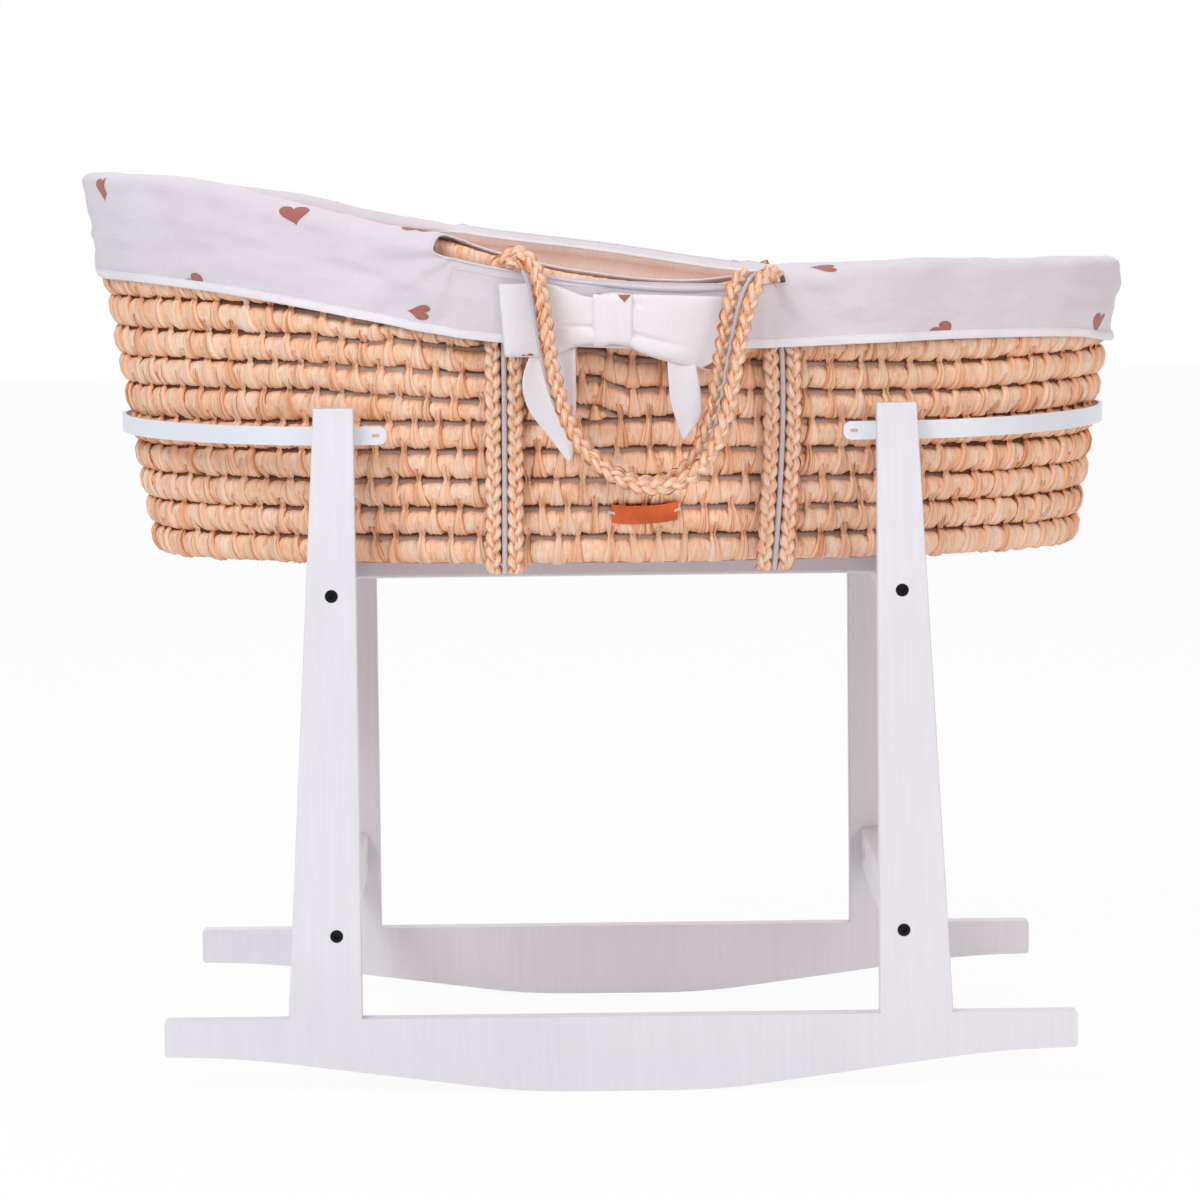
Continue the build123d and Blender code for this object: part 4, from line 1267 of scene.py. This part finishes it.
def foot_wing(share, up):
    """(X, Z, fold) of the bow's loop towards the foot."""
    x = mix(18, mix(88.5, 95.5, up), share)
    low = mix(614, 591, share ** 0.6)
    high = mix(655.5, 652.5, share)
    lower = exp(-((up - mix(0.30, 0.24, share)) / 0.045) ** 2) * (1 - ease(share, 0.35, 0.75))
    upper = exp(-((up - 0.82) / 0.05) ** 2) * (1 - ease(share, 0.04, 0.22))
    roll = 2.2 * exp(-((up - 0.12) / 0.14) ** 2) * (1 - ease(share, 0.4, 0.95))
    return x, mix(low, high, up), roll - 3.2 * lower - 1.8 * upper


def wing_point(wing, share, up, face=1, lift=0):
    """Point of a loop's front face (face 1) or back face (face -1)."""
    x, z, fold = wing(share, up)
    edge = (1 - abs(2 * up - 1) ** 7) * (1 - share ** 14)
    loft = 2.6 * max(0, edge) ** 0.5
    soft = 0.9 * waver(x, z, 4, 26)
    out = 3.5 + (fold + soft) * min(1, edge * 2) * (0.5 + 0.5 * face) + face * loft
    return in_front(x, z, BOW_OUT + out + lift)


def add_bow_heart(soup, wing, x, z, tilt, size):
    """Heart on a loop, cut off at its edges."""
    inner, outer = wing(0, 0.5)[0], wing(1, 0.3)[0]

    def point_at(hx, hy):
        hy *= 0.85
        px, pz = x + hx * cos(tilt) - hy * sin(tilt), z + hx * sin(tilt) + hy * cos(tilt)
        share = min(max((px - inner) / (outer - inner), 0.02), 0.985)
        low, high = wing(share, 0)[1], wing(share, 1)[1]
        return wing_point(wing, share, min(max((pz - low) / (high - low), 0.02), 0.98), 1, PRINT_LIFT)

    soup.grid(heart_rings(size, 4, 32, point_at), False, True)


def knot_point(turn, up, lift=0):
    """Point of the wrap round the middle: turn 0 is its edge towards the foot, a quarter its front."""
    c, s = cos(turn), sin(turn)
    x = KNOT_X + KNOT_HALF_WIDTH * copysign(abs(c) ** KNOT_BLUNT, c)
    z = mix(*KNOT_Z, up) + 0.5 * sin(x * 0.3)
    dome = (1 - abs(2 * up - 1) ** 8) ** 0.5
    out = 4.5 + 4.2 * copysign(abs(s) ** 0.5, s) * max(0.15, dome)
    if s > 0:
        seam = 0.9 * exp(-((x - 16.6) / 0.7) ** 2)
        out += 0.5 * sin(x * 0.35 + 1) + 0.5 * waver(x, z, 9, 16) - seam
    return in_front(x, z, BOW_OUT + out + lift)


def on_knot(hx, hy):
    """A point of the flat heart, laid on the knot's front."""
    x, z = KNOT_HEART
    share = (x + hx - KNOT_X) / KNOT_HALF_WIDTH
    turn = acos(copysign(abs(share) ** (1 / KNOT_BLUNT), share))
    up = (z + hy - KNOT_Z[0]) / (KNOT_Z[1] - KNOT_Z[0])
    return knot_point(turn, min(up, 0.975), PRINT_LIFT)


TAILS = (  # the one towards the head, then the other: (X, Z, half width) from the top down
    ((-42, 612, 17), (-46, 596, 21), (-47, 580, 22), (-44.5, 562, 19.5), (-38, 545, 12), (-33, 531, 6),
     (-30, 521, 1.5)),
    ((60, 606, 11), (61.5, 590, 12), (64, 568, 12.8), (66, 555, 10.5), (65, 545, 6), (62.5, 537, 0.8)),
)


def make_bow():
    """Bow on the front: two stuffed loops, a wrap round the middle and two tails, with printed hearts."""
    hearts = Soup()
    for name, wing, node in (
        ("bow_wing_head", head_wing, "bow_loop_head"), ("bow_wing_foot", foot_wing, "bow_loop_foot"),
    ):
        soup = Soup()
        faces = [[wing_point(wing, i / 40, j / 40, face) for j in range(41)] for face, i in both_faces(40)]
        soup.grid(faces, vs=1.3)
        piece = soup.make(name, BOW, "bow_cotton", node)
        weld(piece)
    add_bow_heart(hearts, foot_wing, 86, 593.5, 3, 7.5)
    add_bow_heart(hearts, head_wing, -65, 604, 0.2, 6)
    hearts.grid(heart_rings(5.5, 3, 24, on_knot), False, True)
    hearts.make("bow_hearts", HEART, "bow_cotton")

    soup = Soup()
    rings = [[knot_point(turn, i / 24) for turn in turns(64)] for i in range(25)]
    soup.grid(rings, False, True, vs=1.2)
    soup.close(rings)
    piece = soup.make("bow_wrap", BOW, "bow_cotton", "bow_knot")

    soup = Soup()
    back = wall_y(0, 600 - SEAT) - BOW_OUT - 2.6
    for points in TAILS:
        line = even_line([(x, half, z) for x, z, half in points], 2.4, 3)
        rows = []
        for i, centre in enumerate(line):
            row = []
            for j in range(15):
                side = 2 * j / 14 - 1
                x, z = centre.x + side * centre.y, centre.z + 2 * side * (i / len(line))
                fold = 2.2 * cos(side * 1.7 + i * 0.07) + waver(x, z, 2, 22)
                row.append((x, back + fold, z))
            rows.append(row)
        soup.grid(rows, us=2.4)
    piece = soup.make("bow_tail_cloth", BOW, "bow_cotton", "bow_tails")
    thicken(piece, 0.9)


def weld(piece, distance=0.02):
    modifier = piece.modifiers.new("weld", "WELD")
    modifier.merge_threshold = distance * MM


# ---- leather tag
TAG = ((3, 473.5), (57.5, 475.5))  # middle of its two ends (X, Z)
TAG_HALF_HEIGHT = 7.6


def tag_point(share, up, out):
    """Point of the tag: share runs along it, up from -1 to 1 over its height."""
    (x0, z0), (x1, z1) = TAG
    sag = 2.4 * (2 * share - 1) ** 2 - 2.4
    x = mix(x0, x1, share) + 0.4 * up * (share > 0.5)
    z = mix(z0, z1, share) + sag + up * TAG_HALF_HEIGHT + 0.35 * waver(share * 50, up * 4, 3, 9)
    bend = 1.2 * sin(pi * share) - 0.9 * up * up + 0.5 * waver(share * 60, 0, 9, 18)
    return x, wall_y(30, z - SEAT) - 1.2 - bend - out, z


def make_tag():
    """Blank strip of leather, sewn on at both ends: it bends over the coils, with its ends up."""
    faces = []
    for face, i in both_faces(32):
        share = i / 32
        column = []
        for j in range(10):
            up = 2 * j / 9 - 1
            rounded = (1 - abs(up) ** 8) * (1 - abs(2 * share - 1) ** 40)
            column.append(tag_point(share, up, 1 + face * (0.25 + 0.65 * rounded ** 0.5)))
        faces.append(column)
    soup = Soup()
    soup.grid(faces, us=1.7, vs=1.7)
    weld(soup.make("tag_leather", LEATHER, "leather", "leather_tag"))

    thread = Soup()
    for share, way in ((0.055, -1), (0.945, 1)):
        x, y, z = hole = tag_point(share, 0.05, 2.1)
        edge = tag_point(0.5 + way * 0.5, 0.12, 1.6)
        back = (edge[0] + way * 1.8, edge[1] + 1.6, edge[2])
        line = even_line([(x, y + 2, z), hole, edge, back], 0.5, 3)
        for shift in (-0.45, 0.45):
            placed = [(p + Vector((0, 0, shift)), a, o) for p, a, o in frames(line, (0, -1, 0))]
            add_tube(thread, placed, 0.5, 0.8, step=0.5)
    thread.make("tag_thread", CORD_WHITE, "grey_cord")


# ---- mattress
def make_mattress():
    """Thin foam mattress in a cotton case, crowned, with a piped edge."""
    low, high = ((Vector(corner) / MM).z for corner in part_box("mattress"))
    inset = LINER_INSET + 8

    def column_at(s):
        column = []
        for j in range(17):
            turn = mix(-pi / 2, pi / 2, j / 16)
            bulge = 6 * (1 - abs(cos(turn)) ** 0.6)
            height = mix(low, high, 0.5 + 0.5 * sin(turn)) - SEAT
            column.append((*plan(s, MATTRESS_LEVEL, inset + bulge), SEAT + height))
        x, y, _ = column[0]
        under = [(x * j / 8, y * j / 8, low + 0.3) for j in range(8)]
        x, y = plan(s, MATTRESS_LEVEL, inset + 6)
        for j in range(1, 11):
            shrink = 1 - j / 10
            crown = 2 * (1 - shrink ** 2) + 0.6 * waver(x * shrink, y * shrink, 0, 60)
            column.append((x * shrink, y * shrink, min(high + 0.5, high - 1.6 + crown)))
        return under + column

    soup = Soup()
    add_round(soup, 220, column_at, vs=9)
    piece = soup.make("mattress_pad", TICKING, "mattress_cotton", "mattress", body="mattress")
    weld(piece, 0.5)


# ---- stage
def paper_material():
    """White floor: the camera, gloss and glass see it nearly white, with part of the object's shadow."""
    made = Shader("white_paper", 1, Base_Color=(0.9, 0.9, 0.9, 1))
    path = made.node("ShaderNodeLightPath").outputs
    seen = made.maths("MAXIMUM", path["Is Camera Ray"], path["Is Glossy Ray"])
    seen = made.maths("MAXIMUM", seen, path["Is Transmission Ray"])
    share = made.maths("MULTIPLY", seen, WHITE_SHARE)
    glow = made.node("ShaderNodeEmission").outputs[0]
    made.surface(made.node("ShaderNodeMixShader", share, made.shader.outputs[0], glow))
    return made.material


def backdrop_material():
    """Plain glowing white."""
    made = Shader("white_backdrop", 1)
    made.surface(made.node("ShaderNodeEmission"))
    return made.material


def make_stage():
    for name, size, place, tilt, material in (
        ("floor", 16, (0, 3, 0), 0, paper_material()),
        ("backdrop", 30, (0, 10, 5), pi / 2, backdrop_material()),
    ):
        bpy.ops.mesh.primitive_plane_add(size=size, location=place, rotation=(tilt, 0, 0))
        sheet = bpy.context.object
        sheet.name = name
        sheet.data.materials.append(material)

    world = bpy.data.worlds.new("studio")
    bpy.context.scene.world = world
    world.use_nodes = True
    nodes, links = world.node_tree.nodes, world.node_tree.links
    background = nodes["Background"]
    background.inputs["Color"].default_value = (1, 1, 1, 1)
    path = nodes.new("ShaderNodeLightPath")
    level = nodes.new("ShaderNodeMapRange")
    level.inputs["To Min"].default_value = SKY_LIGHT
    level.inputs["To Max"].default_value = 1
    links.new(path.outputs["Is Camera Ray"], level.inputs["Value"])
    links.new(level.outputs[0], background.inputs["Strength"])

    for name, place, size, power, colour in LAMPS:
        lamp = bpy.data.lights.new(name, "AREA")
        lamp.energy, lamp.color, lamp.size = power, colour, size
        holder = bpy.data.objects.new(name, lamp)
        holder.location = place
        aim = Vector(LAMPS_AIM) - Vector(place)
        holder.rotation_euler = aim.to_track_quat("-Z", "Y").to_euler()
        bpy.context.scene.collection.objects.link(holder)


def make_camera():
    data = bpy.data.cameras.new("camera")
    data.lens = CAMERA_LENS
    data.sensor_width = 36
    data.clip_end = 60
    camera = bpy.data.objects.new("camera", data)
    bpy.context.scene.collection.objects.link(camera)
    turn = Matrix.Rotation(CAMERA_YAW, 4, "Z") @ Matrix.Rotation(pi / 2 - CAMERA_PITCH, 4, "X")
    turn = turn @ Matrix.Rotation(CAMERA_ROLL, 4, "Z")
    camera.matrix_world = Matrix.Translation(CAMERA_AT) @ turn
    bpy.context.scene.camera = camera


bpy.context.scene.view_settings.view_transform = "Standard"
make_camera()
make_stage()
dress_nodes()
make_rows()
make_stitches()
make_core()
make_liner()
make_cover()
make_hem_band()
make_slot_bindings()
make_inner_seam()
make_hearts()
make_straps()
make_handles()
make_bow()
make_tag()
make_mattress()

bpy.context.view_layer.update()
